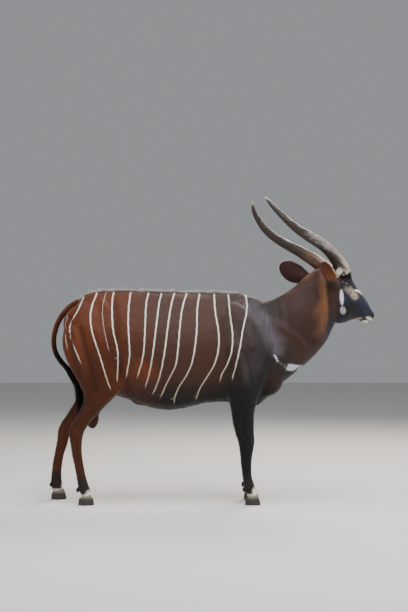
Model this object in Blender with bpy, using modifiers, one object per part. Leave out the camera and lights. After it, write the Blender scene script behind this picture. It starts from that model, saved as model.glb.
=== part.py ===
"""Adult male bongo antelope, a still life-size model standing on its four feet.

The nose points along +X, +Z is up and the animal's right side faces -Y. All sizes are in metres.
"""

import math
import random

import bmesh
import bpy
from mathutils import Matrix, Vector
from mathutils.bvhtree import BVHTree

GAP = 0.0003
SEED = 29

BODY_VOXEL = 0.0055
HEAD_VOXEL = 0.0032
BODY_TRIANGLES = 4200
HEAD_TRIANGLES = 2500

LEG_CUT_Z = 0.530
NECK_CUT_TOP = (0.2725, 1.2081)
NECK_CUT_BOTTOM = (0.4318, 0.7243)
HEAD_CUT_TOP = (0.6383, 1.4146)
HEAD_CUT_BOTTOM = (0.6914, 1.0134)

HEAD_PIVOT = Vector((0.7213, 0.0, 1.279))
HEAD_YAW = math.radians(25.0)
HEAD_ROLL = math.radians(9.0)
HEAD_ROLL_AXIS = Vector((math.cos(math.radians(30)), 0.0, -math.sin(math.radians(30))))
HEAD_FRAME = (
    Matrix.Translation(HEAD_PIVOT)
    @ Matrix.Rotation(HEAD_YAW, 4, "Z")
    @ Matrix.Rotation(-HEAD_ROLL, 4, HEAD_ROLL_AXIS)
)

EYE_RADIUS = 0.0195
EYE_CENTRE = (0.031, 0.0680, -0.008)
LID_THICKNESS = 0.0034
EYE_LONG = 0.0176
EYE_TALL = 0.0118

HOOF_SLOPE = 0.40
HOOF_TOP = 0.047

# Trunk sections: x, top, bottom, half width, narrowing above, narrowing below.
TRUNK = [
    (-0.8662, 1.0783, 0.9367, 0.085, 0.10, 0.10),
    (-0.8308, 1.1373, 0.8718, 0.135, 0.15, 0.10),
    (-0.7836, 1.1880, 0.7892, 0.172, 0.20, 0.10),
    (-0.7246, 1.2293, 0.7125, 0.200, 0.26, 0.10),
    (-0.6479, 1.2411, 0.6535, 0.220, 0.30, 0.10),
    (-0.5594, 1.2441, 0.6240, 0.232, 0.30, 0.08),
    (-0.4886, 1.2441, 0.6004, 0.243, 0.28, 0.06),
    (-0.4178, 1.2411, 0.5738, 0.256, 0.26, 0.04),
    (-0.3352, 1.2382, 0.5502, 0.266, 0.24, 0.02),
    (-0.2408, 1.2382, 0.5426, 0.270, 0.24, 0.00),
    (-0.1346, 1.2352, 0.5620, 0.262, 0.28, 0.02),
    (-0.0284, 1.2323, 0.5856, 0.243, 0.34, 0.06),
    (0.0778, 1.2323, 0.5886, 0.219, 0.42, 0.12),
    (0.1781, 1.2293, 0.5709, 0.196, 0.48, 0.18),
    (0.2548, 1.2087, 0.5679, 0.172, 0.48, 0.22),
    (0.3138, 1.1792, 0.6299, 0.140, 0.42, 0.22),
]

# Neck sections: top x, top z, bottom x, bottom z, half width, narrowing above, narrowing below.
NECK = [
    (0.0896, 1.2081, 0.1604, 0.5886, 0.200, 0.45, 0.20),
    (0.2076, 1.2022, 0.2725, 0.5709, 0.186, 0.48, 0.25),
    (0.2902, 1.1845, 0.3669, 0.6623, 0.166, 0.48, 0.28),
    (0.3669, 1.2022, 0.4584, 0.7361, 0.146, 0.44, 0.30),
    (0.4377, 1.2465, 0.5498, 0.8098, 0.127, 0.38, 0.28),
    (0.5026, 1.2937, 0.6206, 0.8777, 0.110, 0.42, 0.25),
    (0.5675, 1.3556, 0.6737, 0.9426, 0.096, 0.42, 0.22),
    (0.6206, 1.3851, 0.7003, 1.0045, 0.084, 0.44, 0.20),
    (0.6796, 1.3851, 0.7268, 1.0606, 0.074, 0.40, 0.20),
]

# Leg sections: rear x, front x, height, middle y, half width.
HIND_NEAR = [
    (-0.8204, -0.6341, 1.1550, -0.075, 0.070),
    (-0.8553, -0.5992, 1.0735, -0.100, 0.090),
    (-0.8815, -0.5759, 0.9862, -0.114, 0.098),
    (-0.8757, -0.5526, 0.8872, -0.120, 0.098),
    (-0.8408, -0.5323, 0.8057, -0.124, 0.092),
    (-0.8000, -0.5206, 0.7300, -0.127, 0.083),
    (-0.7622, -0.5352, 0.6660, -0.131, 0.072),
    (-0.7498, -0.5811, 0.6142, -0.136, 0.062),
    (-0.7664, -0.6328, 0.5626, -0.140, 0.053),
    (-0.7925, -0.6764, 0.5161, -0.142, 0.046),
    (-0.8245, -0.7170, 0.4696, -0.143, 0.040),
    (-0.8384, -0.7432, 0.4290, -0.143, 0.036),
    (-0.8344, -0.7548, 0.3883, -0.143, 0.033),
    (-0.8268, -0.7589, 0.3418, -0.142, 0.028),
    (-0.8175, -0.7571, 0.2838, -0.141, 0.0245),
    (-0.8059, -0.7478, 0.2257, -0.140, 0.0235),
    (-0.7955, -0.7362, 0.1676, -0.140, 0.0240),
    (-0.7885, -0.7223, 0.1211, -0.140, 0.0275),
    (-0.7815, -0.7107, 0.0892, -0.140, 0.0305),
    (-0.7676, -0.7025, 0.0572, -0.140, 0.0285),
    (-0.7548, -0.6880, 0.0224, -0.140, 0.0290),
]
HIND_FAR = [
    (-0.8352, -0.6499, 1.1490, 0.075, 0.070),
    (-0.8711, -0.6140, 1.0713, 0.100, 0.090),
    (-0.8920, -0.5901, 0.9816, 0.114, 0.098),
    (-0.8860, -0.5721, 0.8800, 0.120, 0.098),
    (-0.8591, -0.5572, 0.7963, 0.124, 0.092),
    (-0.8292, -0.5512, 0.7186, 0.127, 0.083),
    (-0.8083, -0.5781, 0.6528, 0.131, 0.072),
    (-0.8181, -0.6386, 0.5984, 0.136, 0.062),
    (-0.8459, -0.7051, 0.5498, 0.140, 0.053),
    (-0.8759, -0.7590, 0.5019, 0.142, 0.046),
    (-0.9088, -0.8160, 0.4540, 0.143, 0.040),
    (-0.9268, -0.8459, 0.4120, 0.143, 0.036),
    (-0.9310, -0.8579, 0.3701, 0.143, 0.033),
    (-0.9388, -0.8699, 0.3221, 0.142, 0.028),
    (-0.9496, -0.8879, 0.2682, 0.141, 0.0245),
    (-0.9592, -0.8980, 0.2143, 0.140, 0.0235),
    (-0.9663, -0.9040, 0.1604, 0.140, 0.0240),
    (-0.9711, -0.9028, 0.1184, 0.140, 0.0275),
    (-0.9711, -0.8980, 0.0885, 0.140, 0.0305),
    (-0.9628, -0.8944, 0.0555, 0.140, 0.0285),
    (-0.9538, -0.8849, 0.0226, 0.140, 0.0290),
]
FORE = [
    (0.1343, 0.2624, 1.0851, 0.095, 0.060),
    (0.0994, 0.2973, 0.9862, 0.118, 0.082),
    (0.0819, 0.3206, 0.8872, 0.128, 0.090),
    (0.0761, 0.3206, 0.7941, 0.132, 0.088),
    (0.0790, 0.3031, 0.7126, 0.133, 0.080),
    (0.0877, 0.2740, 0.6427, 0.132, 0.068),
    (0.0980, 0.2562, 0.5910, 0.130, 0.057),
    (0.1097, 0.2422, 0.5328, 0.130, 0.048),
    (0.1178, 0.2405, 0.4689, 0.130, 0.042),
    (0.1317, 0.2411, 0.4107, 0.130, 0.037),
    (0.1457, 0.2440, 0.3700, 0.130, 0.037),
    (0.1544, 0.2393, 0.3293, 0.130, 0.034),
    (0.1620, 0.2294, 0.2712, 0.130, 0.0265),
    (0.1678, 0.2259, 0.2130, 0.130, 0.0245),
    (0.1725, 0.2289, 0.1607, 0.130, 0.0250),
    (0.1771, 0.2399, 0.1200, 0.130, 0.0285),
    (0.1829, 0.2539, 0.0880, 0.130, 0.0315),
    (0.1957, 0.2632, 0.0560, 0.130, 0.0295),
    (0.2097, 0.2783, 0.0211, 0.130, 0.0300),
]

# Head sections in the head's own frame: forward and height of the top, of the bottom, half width,
# narrowing above, narrowing below.
HEAD = [
    (-0.1241, 0.0766, -0.0851, -0.2184, 0.052, 0.30, 0.20),
    (-0.0721, 0.0973, -0.0395, -0.2243, 0.066, 0.26, 0.20),
    (-0.0200, 0.1061, 0.0028, -0.2302, 0.079, 0.20, 0.22),
    (0.0321, 0.1032, 0.0354, -0.2278, 0.083, 0.16, 0.30),
    (0.0744, 0.0825, 0.0647, -0.2208, 0.083, 0.12, 0.40),
    (0.1024, 0.0501, 0.0874, -0.2125, 0.079, 0.14, 0.45),
    (0.1265, 0.0147, 0.1089, -0.2078, 0.070, 0.18, 0.45),
    (0.1571, -0.0225, 0.1298, -0.2066, 0.059, 0.22, 0.40),
    (0.1870, -0.0532, 0.1519, -0.2125, 0.050, 0.24, 0.34),
    (0.2131, -0.0874, 0.1727, -0.2184, 0.044, 0.22, 0.26),
    (0.2326, -0.1240, 0.1936, -0.2231, 0.041, 0.18, 0.20),
    (0.2469, -0.1553, 0.2144, -0.2243, 0.037, 0.16, 0.20),
    (0.2574, -0.1771, 0.2365, -0.2172, 0.026, 0.10, 0.10),
]

MOUTH = [0.1460, -0.1724, 0.1688, -0.1806, 0.1949, -0.1924, 0.2176, -0.2042, 0.2391, -0.2101]
MOUTH_RADIUS = 0.0017

# Horn centre line in the head's own frame: forward, height, distance from the middle, radius.
HORN = [
    (0.0230, 0.0554, 0.046, 0.0440),
    (0.0074, 0.0872, 0.056, 0.0430),
    (-0.0206, 0.1226, 0.074, 0.0400),
    (-0.0629, 0.1616, 0.094, 0.0375),
    (-0.1144, 0.1952, 0.112, 0.0345),
    (-0.1690, 0.2253, 0.123, 0.0318),
    (-0.2270, 0.2536, 0.131, 0.0292),
    (-0.2843, 0.2813, 0.135, 0.0266),
    (-0.3403, 0.3132, 0.135, 0.0236),
    (-0.3891, 0.3515, 0.128, 0.0206),
    (-0.4301, 0.3964, 0.115, 0.0172),
    (-0.4659, 0.4436, 0.098, 0.0130),
    (-0.4926, 0.4955, 0.072, 0.0042),
]
HORN_SEAT = 1
HORN_TURNS = 0.85
HORN_KEEL = 0.20
HORN_SIDES = 12
HORN_STEPS = 2

EAR_LENGTH = 0.268
EAR_SEAT = 0.036
EAR_WALL = 0.0056
# Ear sections: share of the length, half width, depth, how far the wall wraps round in degrees, bend.
EAR = [
    (0.00, 0.0235, 0.0215, 150.0, 0.000),
    (0.12, 0.0300, 0.0250, 136.0, -0.002),
    (0.26, 0.0430, 0.0285, 118.0, -0.006),
    (0.42, 0.0550, 0.0290, 102.0, -0.010),
    (0.58, 0.0590, 0.0265, 92.0, -0.012),
    (0.73, 0.0540, 0.0220, 86.0, -0.011),
    (0.86, 0.0400, 0.0160, 80.0, -0.007),
    (0.95, 0.0230, 0.0105, 76.0, -0.002),
    (1.00, 0.0085, 0.0060, 72.0, 0.002),
]
EAR_BASE = {"near": (-0.070, -0.078, 0.006), "far": (-0.066, 0.095, 0.022)}
EAR_WAY = {"near": Vector((-0.17, -0.90, 0.38)), "far": Vector((-0.79, 0.46, 0.42))}

EAR_FRONT = {"near": Vector((0.72, 0.35, 0.66)), "far": Vector((0.80, 0.75, -0.10))}

# Tail: centre x and z, middle y, radius.
TAIL = [
    (-0.7801, 1.1762, 0.000, 0.0230),
    (-0.8102, 1.1656, 0.000, 0.0205),
    (-0.8456, 1.1432, 0.000, 0.0180),
    (-0.8792, 1.1102, 0.000, 0.0165),
    (-0.9063, 1.0700, 0.000, 0.0158),
    (-0.9240, 1.0276, 0.000, 0.0155),
    (-0.9352, 0.9804, 0.000, 0.0152),
    (-0.9370, 0.9284, 0.001, 0.0152),
    (-0.9252, 0.8777, 0.002, 0.0155),
    (-0.8957, 0.8281, 0.004, 0.0165),
    (-0.8544, 0.7809, 0.006, 0.0190),
    (-0.8190, 0.7302, 0.006, 0.0230),
    (-0.8013, 0.6712, 0.004, 0.0240),
    (-0.7930, 0.6063, 0.002, 0.0190),
    (-0.7895, 0.5532, 0.000, 0.0080),
]

# The white crest along the back, as x and z of its tips.
CREST = [-0.7718, 1.2111, -0.7246, 1.2435, -0.6656, 1.2553, -0.4886, 1.2612, -0.2821, 1.2553, -0.0756, 1.2465,
         0.1014, 1.2476, 0.1486, 1.2577, 0.1899, 1.2317]
CREST_LOCKS = 58
CREST_LENGTH = 0.046
CREST_RISE = 0.0175
TUFT_LOCKS = 12

COLOURS = {
    "chestnut": ((0.105, 0.030, 0.010), 0.62),
    "brown": ((0.070, 0.030, 0.018), 0.60),
    "neck": ((0.075, 0.034, 0.022), 0.62),
    "face": ((0.030, 0.030, 0.040), 0.60),
    "shank": ((0.060, 0.020, 0.012), 0.62),
    "foreshank": ((0.020, 0.018, 0.020), 0.62),
    "ear": ((0.085, 0.030, 0.018), 0.66),
    "horn": ((0.150, 0.110, 0.080), 0.42),
    "hoof": ((0.070, 0.050, 0.040), 0.45),
    "eye": ((0.012, 0.007, 0.004), 0.08),
    "tail": ((0.110, 0.045, 0.018), 0.64),
}


def clear_scene():
    """Remove every object that the factory scene holds."""
    for item in list(bpy.data.objects):
        bpy.data.objects.remove(item, do_unlink=True)


def collection(title, hidden=False):
    """Make a collection under the scene, hidden from renders when it holds cutters."""
    made = bpy.data.collections.new(title)
    bpy.context.scene.collection.children.link(made)
    made.hide_render = hidden
    return made


def coat(name):
    """Make a plain Principled material from the table of colours."""
    colour, rough = COLOURS[name]
    made = bpy.data.materials.new(name)
    made.use_nodes = True
    shader = made.node_tree.nodes["Principled BSDF"]
    shader.inputs["Base Color"].default_value = (*colour, 1.0)
    shader.inputs["Roughness"].default_value = rough
    shader.inputs["Metallic"].default_value = 0.0
    return made


def head_point(forward, side, height):
    """Turn a place in the head's own frame into the model's frame."""
    return HEAD_FRAME @ Vector((forward, side, height))


def head_spot(forward, height, side):
    """A place in the head's own frame, given as forward, height and side."""
    return head_point(forward, side, height)


def head_way(forward, side, height):
    """Turn a direction in the head's own frame into the model's frame."""
    return (HEAD_FRAME.to_3x3() @ Vector((forward, side, height))).normalized()


def mesh_object(name, points, faces, home):
    """Make an object from points and faces in the given collection."""
    data = bpy.data.meshes.new(name)
    data.from_pydata([tuple(p) for p in points], [], faces)
    made = bpy.data.objects.new(name, data)
    home.objects.link(made)
    return made


def through(rows, steps):
    """Carry rows of numbers along a smooth curve, with the given steps between two rows."""
    carried = []
    last = len(rows) - 1
    for i in range(last):
        before = rows[max(i - 1, 0)]
        first = rows[i]
        second = rows[i + 1]
        after = rows[min(i + 2, last)]
        for k in range(steps):
            t = k / steps
            row = []
            for a, b, c, d in zip(before, first, second, after):
                row.append(
                    0.5 * (2 * b + (c - a) * t + (2 * a - 5 * b + 4 * c - d) * t * t
                           + (3 * b - a - 3 * c + d) * t ** 3)
                )
            carried.append(tuple(row))
    carried.append(tuple(rows[last]))
    return carried


def outline(top, bottom, half, above, below, side, count):
    """One egg-shaped outline between a top and a bottom point."""
    middle = (top + bottom) / 2
    up = (top - bottom) / 2
    ring = []
    for i in range(count):
        angle = 2 * math.pi * i / count
        rise = math.cos(angle)
        across = math.sin(angle)
        width = half * across * (1 - above * max(rise, 0) ** 2 - below * max(-rise, 0) ** 2)
        ring.append(middle + up * rise + side * width)
    return ring


def shell(name, rings, home, dome=0.3):
    """Join rings into a closed shell, with a shallow dome at each end."""
    count = len(rings[0])
    points = [p for ring in rings for p in ring]
    faces = []
    for r in range(len(rings) - 1):
        for i in range(count):
            j = (i + 1) % count
            faces.append((r * count + i, r * count + j, (r + 1) * count + j, (r + 1) * count + i))
    for end, near in ((0, 1), (len(rings) - 1, len(rings) - 2)):
        middle = sum(rings[end], Vector()) / count
        way = (middle - sum(rings[near], Vector()) / count).normalized()
        size = sum((p - middle).length for p in rings[end]) / count
        pole = len(points)
        points.append(middle + way * size * dome)
        for i in range(count):
            j = (i + 1) % count
            corner = (end * count + i, end * count + j)
            faces.append((pole, corner[1], corner[0]) if end == 0 else (pole, corner[0], corner[1]))
    made = mesh_object(name, points, faces, home)
    face_out(made)
    return made


def face_out(item):
    """Turn every face of a closed mesh outwards."""
    work = bmesh.new()
    work.from_mesh(item.data)
    bmesh.ops.recalc_face_normals(work, faces=work.faces)
    if work.calc_volume(signed=True) < 0:
        bmesh.ops.reverse_faces(work, faces=work.faces)
    work.to_mesh(item.data)
    work.free()


def ball(name, centre, radii, home, turn=None, level=3):
    """A closed ellipsoid, turned by a 3x3 matrix when one is given."""
    work = bmesh.new()
    bmesh.ops.create_icosphere(work, subdivisions=level, radius=1.0)
    place = (turn or Matrix.Identity(3)) @ Matrix.Diagonal(Vector(radii))
    for v in work.verts:
        v.co = place @ v.co + centre
    data = bpy.data.meshes.new(name)
    work.to_mesh(data)
    work.free()
    made = bpy.data.objects.new(name, data)
    home.objects.link(made)
    return made


def axes(along, across):
    """A turning matrix whose first column is along and whose second is close to across."""
    first = along.normalized()
    third = first.cross(across).normalized()
    second = third.cross(first)
    return Matrix((first, second, third)).transposed()


def tube(name, rows, home, sides=12, ends=(0.0, 0.4), cross=Vector((0, 1, 0)), first=None):
    """A round tube along rows of x, y, z, radius, flat at the first end and square to first there."""
    rings = []
    for i, row in enumerate(rows):
        here = Vector(row[:3])
        ahead = Vector(rows[min(i + 1, len(rows) - 1)][:3])
        back = Vector(rows[max(i - 1, 0)][:3])
        turn = axes(first if first is not None and i == 0 else ahead - back, cross)
        ring = []
        for k in range(sides):
            angle = 2 * math.pi * k / sides
            ring.append(here + turn @ Vector((0, math.cos(angle), math.sin(angle))) * row[3])
        rings.append(ring)
    return capped(name, rings, home, ends)


def capped(name, rings, home, ends):
    """Close rings with a pole at each end, each raised by its own share of the end's size."""
    count = len(rings[0])
    points = [p for ring in rings for p in ring]
    faces = []
    for r in range(len(rings) - 1):
        for i in range(count):
            j = (i + 1) % count
            faces.append((r * count + i, r * count + j, (r + 1) * count + j, (r + 1) * count + i))
    for end, near, lift in ((0, 1, ends[0]), (len(rings) - 1, len(rings) - 2, ends[1])):
        middle = sum(rings[end], Vector()) / count
        way = (middle - sum(rings[near], Vector()) / count).normalized()
        size = sum((p - middle).length for p in rings[end]) / count
        pole = len(points)
        points.append(middle + way * size * lift)
        for i in range(count):
            faces.append((pole, end * count + i, end * count + (i + 1) % count))
    made = mesh_object(name, points, faces, home)
    face_out(made)
    return made


def merged(name, items, home):
    """Put the meshes of several objects into one object and remove those objects."""
    work = bmesh.new()
    for item in items:
        work.from_mesh(item.data)
    data = bpy.data.meshes.new(name)
    work.to_mesh(data)
    work.free()
    made = bpy.data.objects.new(name, data)
    home.objects.link(made)
    for item in items:
        bpy.data.objects.remove(item, do_unlink=True)
    return made


def apply_all(item):
    """Apply every modifier of an object."""
    bpy.context.view_layer.update()
    held = bpy.context.evaluated_depsgraph_get()
    data = bpy.data.meshes.new_from_object(item.evaluated_get(held))
    item.modifiers.clear()
    item.data = data


def largest(item):
    """Keep only the largest closed surface of a mesh."""
    work = bmesh.new()
    work.from_mesh(item.data)
    groups = islands(work)
    keep = max(groups, key=lambda g: len(g))
    spare = [v for v in work.verts if v not in keep]
    bmesh.ops.delete(work, geom=spare, context="VERTS")
    work.to_mesh(item.data)
    work.free()


def islands(work):
    """Sets of vertices that faces join."""
    seen = set()
    groups = []
    for start in work.verts:
        if start in seen:
            continue
        group = {start}
        queue = [start]
        seen.add(start)
        while queue:
            v = queue.pop()
            for e in v.link_edges:
                w = e.other_vert(v)
                if w not in seen:
                    seen.add(w)
                    group.add(w)
                    queue.append(w)
        groups.append(group)
    return groups


def blend(item, voxel, smoothing, triangles, extra=0, floor=0.0):
    """Fuse overlapping shells into one skin, smooth it, more so above a floor, and thin its triangles."""
    melt = item.modifiers.new("fuse", "REMESH")
    melt.mode = "VOXEL"
    melt.voxel_size = voxel
    melt.adaptivity = 0.0
    ease = item.modifiers.new("ease", "SMOOTH")
    ease.factor = 0.5
    ease.iterations = smoothing
    apply_all(item)
    largest(item)
    if extra:
        group = item.vertex_groups.new(name="flesh")
        for v in item.data.vertices:
            share = min(max((v.co.z - floor) / 0.12, 0.0), 1.0)
            group.add([v.index], share, "REPLACE")
        more = item.modifiers.new("more", "SMOOTH")
        more.factor = 0.5
        more.iterations = extra
        more.vertex_group = "flesh"
        apply_all(item)
        item.vertex_groups.clear()
    have = sum(len(p.vertices) - 2 for p in item.data.polygons)
    thin = item.modifiers.new("thin", "DECIMATE")
    thin.decimate_type = "COLLAPSE"
    thin.use_collapse_triangulate = True
    thin.ratio = min(1.0, triangles / have)
    apply_all(item)
    largest(item)


def weld(item, reach=0.00002):
    """Merge corners that lie closer together than reach, and remove the slivers that this leaves."""
    work = bmesh.new()
    work.from_mesh(item.data)
    bmesh.ops.remove_doubles(work, verts=work.verts, dist=reach)
    bmesh.ops.dissolve_degenerate(work, edges=work.edges, dist=reach)
    work.to_mesh(item.data)
    work.free()


def join_or_cut(item, other, how, solver="EXACT"):
    """Boolean one object with another, apply it and remove the other."""
    step = item.modifiers.new("step", "BOOLEAN")
    step.operation = how
    step.solver = solver
    step.object = other
    apply_all(item)
    weld(item)
    bpy.data.objects.remove(other, do_unlink=True)


def sliced(item, name, point, normal, home):
    """A copy of the part of a closed mesh that lies on the side the normal points to."""
    work = bmesh.new()
    work.from_mesh(item.data)
    geometry = list(work.verts) + list(work.edges) + list(work.faces)
    bmesh.ops.bisect_plane(
        work, geom=geometry, dist=1e-7, plane_co=point, plane_no=-normal, clear_outer=True
    )
    edge = [e for e in work.edges if e.is_boundary]
    bmesh.ops.holes_fill(work, edges=edge, sides=0)
    bmesh.ops.triangulate(work, faces=[f for f in work.faces if len(f.verts) > 3])
    bmesh.ops.recalc_face_normals(work, faces=work.faces)
    data = bpy.data.meshes.new(name)
    work.to_mesh(data)
    work.free()
    made = bpy.data.objects.new(name, data)
    home.objects.link(made)
    face_out(made)
    return made


def split(item, names, home):
    """Give each separate surface of a mesh to its own object, named by where its middle is."""
    work = bmesh.new()
    work.from_mesh(item.data)
    groups = islands(work)
    work.free()
    made = []
    for index in range(len(groups)):
        part = bmesh.new()
        part.from_mesh(item.data)
        part.verts.ensure_lookup_table()
        keep = islands(part)[index]
        middle = sum((v.co for v in keep), Vector()) / len(keep)
        spare = [v for v in part.verts if v not in keep]
        bmesh.ops.delete(part, geom=spare, context="VERTS")
        name = names(middle)
        data = bpy.data.meshes.new(name)
        part.to_mesh(data)
        part.free()
        piece = bpy.data.objects.new(name, data)
        home.objects.link(piece)
        made.append(piece)
    bpy.data.objects.remove(item, do_unlink=True)
    return made


def seat(item, point, way, radius, depth, home):
    """Cut a flat seat across a stub, at a point and square to the way it points."""
    turn = axes(way, Vector((0.0, 0.31, 0.95)))
    work = bmesh.new()
    bmesh.ops.create_cone(
        work, cap_ends=True, segments=28, radius1=radius, radius2=radius, depth=depth
    )
    lift = way.normalized() * (depth / 2)
    quarter = Matrix.Rotation(math.pi / 2, 3, "Y")
    for v in work.verts:
        v.co = turn @ (quarter @ v.co) + point + lift
    data = bpy.data.meshes.new("seat")
    work.to_mesh(data)
    work.free()
    cutter = bpy.data.objects.new("seat", data)
    home.objects.link(cutter)
    face_out(cutter)
    join_or_cut(item, cutter, "DIFFERENCE")


def leg_shell(name, rows, turn_y, home):
    """A leg from its rows of rear, front, height, middle and half width."""
    rings = []
    for rear, front, height, middle, half in through(rows, 2):
        top = Vector((front, middle * turn_y, height))
        bottom = Vector((rear, middle * turn_y, height))
        rings.append(outline(top, bottom, half, 0.06, 0.10, Vector((0, 1, 0)), 20))
    return shell(name, rings, home, 0.15)


def build_body(home):
    """Trunk, neck, legs and their muscles, fused into one skin."""
    side = Vector((0, 1, 0))
    parts = []
    rings = []
    for x, top, bottom, half, above, below in through(TRUNK, 2):
        rings.append(outline(Vector((x, 0, top)), Vector((x, 0, bottom)), half, above, below, side, 32))
    parts.append(shell("trunk", rings, home, 0.25))
    parts.append(neck_shell(home))
    parts.append(skull_shell(home))
    parts.append(leg_shell("hind_near", HIND_NEAR, 1, home))
    parts.append(leg_shell("hind_far", HIND_FAR, 1, home))
    parts.append(leg_shell("fore_near", FORE, -1, home))
    parts.append(leg_shell("fore_far", FORE, 1, home))
    for sign in (-1, 1):
        blade = axes(Vector((0.30, 0, -0.95)), Vector((0.0, 1.0, 0.0)))
        parts.append(ball("blade", Vector((0.165, sign * 0.085, 0.985)), (0.205, 0.100, 0.110), home, blade))
        arm = axes(Vector((-0.62, 0, -0.78)), Vector((0.0, 1.0, 0.0)))
        parts.append(ball("arm", Vector((0.235, sign * 0.115, 0.820)), (0.150, 0.085, 0.095), home, arm))
        parts.append(ball("breast", Vector((0.320, sign * 0.045, 0.745)), (0.100, 0.080, 0.120), home))
        rump = axes(Vector((0.9, 0, 0.20)), Vector((0.0, 1.0, 0.0)))
        parts.append(ball("rump", Vector((-0.740, sign * 0.080, 1.060)), (0.140, 0.090, 0.120), home, rump))
        for lift, legs in ((0.104, "hind"), (0.104, "fore")):
            if legs == "hind":
                x = HIND_NEAR[17][0] if sign < 0 else HIND_FAR[17][0]
                y = sign * 0.140
            else:
                x = FORE[15][0]
                y = sign * 0.130
            for claw in (-1, 1):
                place = Vector((x + 0.003, y + claw * 0.016, lift - 0.016))
                parts.append(ball("dewclaw", place, (0.012, 0.010, 0.017), home))
    parts.append(ball("pouch", Vector((-0.7099, 0.5001, 0.0)).xzy, (0.040, 0.035, 0.070), home))
    parts.append(ball("cord", Vector((-0.6892, 0.6004, 0.0)).xzy, (0.036, 0.026, 0.105), home))
    parts.append(ball("sheath", Vector((-0.3942, 0.5915, 0.0)).xzy, (0.080, 0.022, 0.026), home))
    parts.append(tail_stub(home))
    body = merged("body", parts, home)
    blend(body, BODY_VOXEL, 5, BODY_TRIANGLES, 45, 0.60)
    return body


def neck_shell(home):
    """The neck alone, used for the body and again inside the head."""
    rings = []
    for tx, tz, bx, bz, half, above, below in through(NECK, 2):
        top = Vector((tx, 0, tz))
        bottom = Vector((bx, 0, bz))
        rings.append(outline(top, bottom, half, above, below, Vector((0, 1, 0)), 32))
    return shell("neck", rings, home, 0.2)


def tail_way():
    """Where the tail starts and the way it points there."""
    first = Vector((TAIL[0][0], TAIL[0][2], TAIL[0][1]))
    second = Vector((TAIL[1][0], TAIL[1][2], TAIL[1][1]))
    return first, (second - first).normalized()


def tail_stub(home):
    """The root of the tail inside the rump."""
    start, way = tail_way()
    rows = []
    for back in (0.10, 0.05, 0.0, -0.016):
        place = start - way * back
        rows.append((*place, 0.026 + back * 0.10))
    return tube("tail_stub", rows, home, 14, (0.2, 0.1))


def build_tail(home, grown=0.0):
    """The tail with its dark tuft, or the same a little grown, to clear room for it."""
    start, way = tail_way()
    rows = []
    for x, z, y, radius in through(TAIL, 2):
        rows.append((x, y, z, radius + grown))
    lifted = start + way * GAP
    rows[0] = (lifted.x, lifted.y, lifted.z, TAIL[0][3] + grown)
    return tube("tail", rows, home, 12, (0.0, 0.5), first=way)


def eye_way(sign):
    """The way an eye looks, in the model's frame."""
    return head_way(0.30, sign * 0.93, 0.12)


def eye_place(sign):
    """The middle of an eyeball."""
    forward, side, height = EYE_CENTRE
    return head_point(forward, sign * side, height)


def eye_turn(sign):
    """Axes of an eye: its look, then the line from corner to corner."""
    along_face = head_way(0.80, 0.0, -0.60)
    return axes(eye_way(sign), along_face)


def almond(name, sign, home, reach):
    """A prism of almond outline from the middle of an eye outwards."""
    turn = eye_turn(sign)
    centre = eye_place(sign)
    count = 20
    points = []
    for lift, size in ((0.006, 0.90), (reach, 1.18)):
        for i in range(count):
            angle = 2 * math.pi * i / count
            long = math.cos(angle)
            tall = math.sin(angle)
            tall = tall * (1 - 0.45 * abs(long) ** 2.2)
            spot = turn @ Vector((lift, long * EYE_LONG * size, tall * EYE_TALL * size))
            points.append(centre + spot)
    faces = [tuple(range(count)), tuple(range(2 * count - 1, count - 1, -1))]
    for i in range(count):
        j = (i + 1) % count
        faces.append((i, j, count + j, count + i))
    made = mesh_object(name, points, faces, home)
    face_out(made)
    return made


def sphere(name, centre, radius, turn, home, segments=18, rings=10):
    """A round ball whose poles lie along the first axis of the turn."""
    work = bmesh.new()
    bmesh.ops.create_uvsphere(work, u_segments=segments, v_segments=rings, radius=radius)
    quarter = Matrix.Rotation(math.pi / 2, 3, "Y")
    for v in work.verts:
        v.co = turn @ (quarter @ v.co) + centre
    data = bpy.data.meshes.new(name)
    work.to_mesh(data)
    work.free()
    made = bpy.data.objects.new(name, data)
    home.objects.link(made)
    return made


def horn_rows(sign):
    """Places and radii along a horn."""
    rows = []
    for forward, height, out, radius in through(HORN, HORN_STEPS):
        place = head_point(forward, sign * out, height)
        rows.append((place.x, place.y, place.z, radius))
    return rows


def horn_seat(sign):
    """Where a horn leaves its stub, and the way it points there."""
    rows = horn_rows(sign)
    start = HORN_SEAT * HORN_STEPS
    here = Vector(rows[start][:3])
    ahead = Vector(rows[start + 1][:3])
    return here, (ahead - here).normalized()


def build_horn(name, sign, home):
    """One lyre-shaped horn with a keel that winds once around it."""
    rows = horn_rows(sign)[HORN_SEAT * HORN_STEPS:]
    start, way = horn_seat(sign)
    rings = []
    total = len(rows) - 1
    for i, row in enumerate(rows):
        here = Vector(row[:3])
        tangent = Vector(rows[min(i + 1, total)][:3]) - Vector(rows[max(i - 1, 0)][:3])
        if i == 0:
            here = here + way * GAP
            tangent = way
        turn = axes(tangent, head_way(0.2, sign * 1.0, 0.1))
        twist = sign * 2 * math.pi * HORN_TURNS * i / total
        ring = []
        for k in range(HORN_SIDES):
            angle = 2 * math.pi * k / HORN_SIDES
            ridge = max(math.cos(angle - twist - 0.6), 0.0) ** 4
            dent = max(math.cos(angle - twist + 2.2), 0.0) ** 3
            ripple = 1 + 0.02 * math.sin(i * 2.1) * (1 - i / total)
            size = row[3] * (1 + HORN_KEEL * ridge - 0.10 * dent) * ripple
            if i == 0:
                size = row[3] * (1 + 0.6 * HORN_KEEL * ridge - 0.10 * dent)
            ring.append(here + turn @ Vector((0, math.cos(angle), math.sin(angle))) * size)
        rings.append(ring)
    return capped(name, rings, home, (0.0, 0.8))


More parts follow.
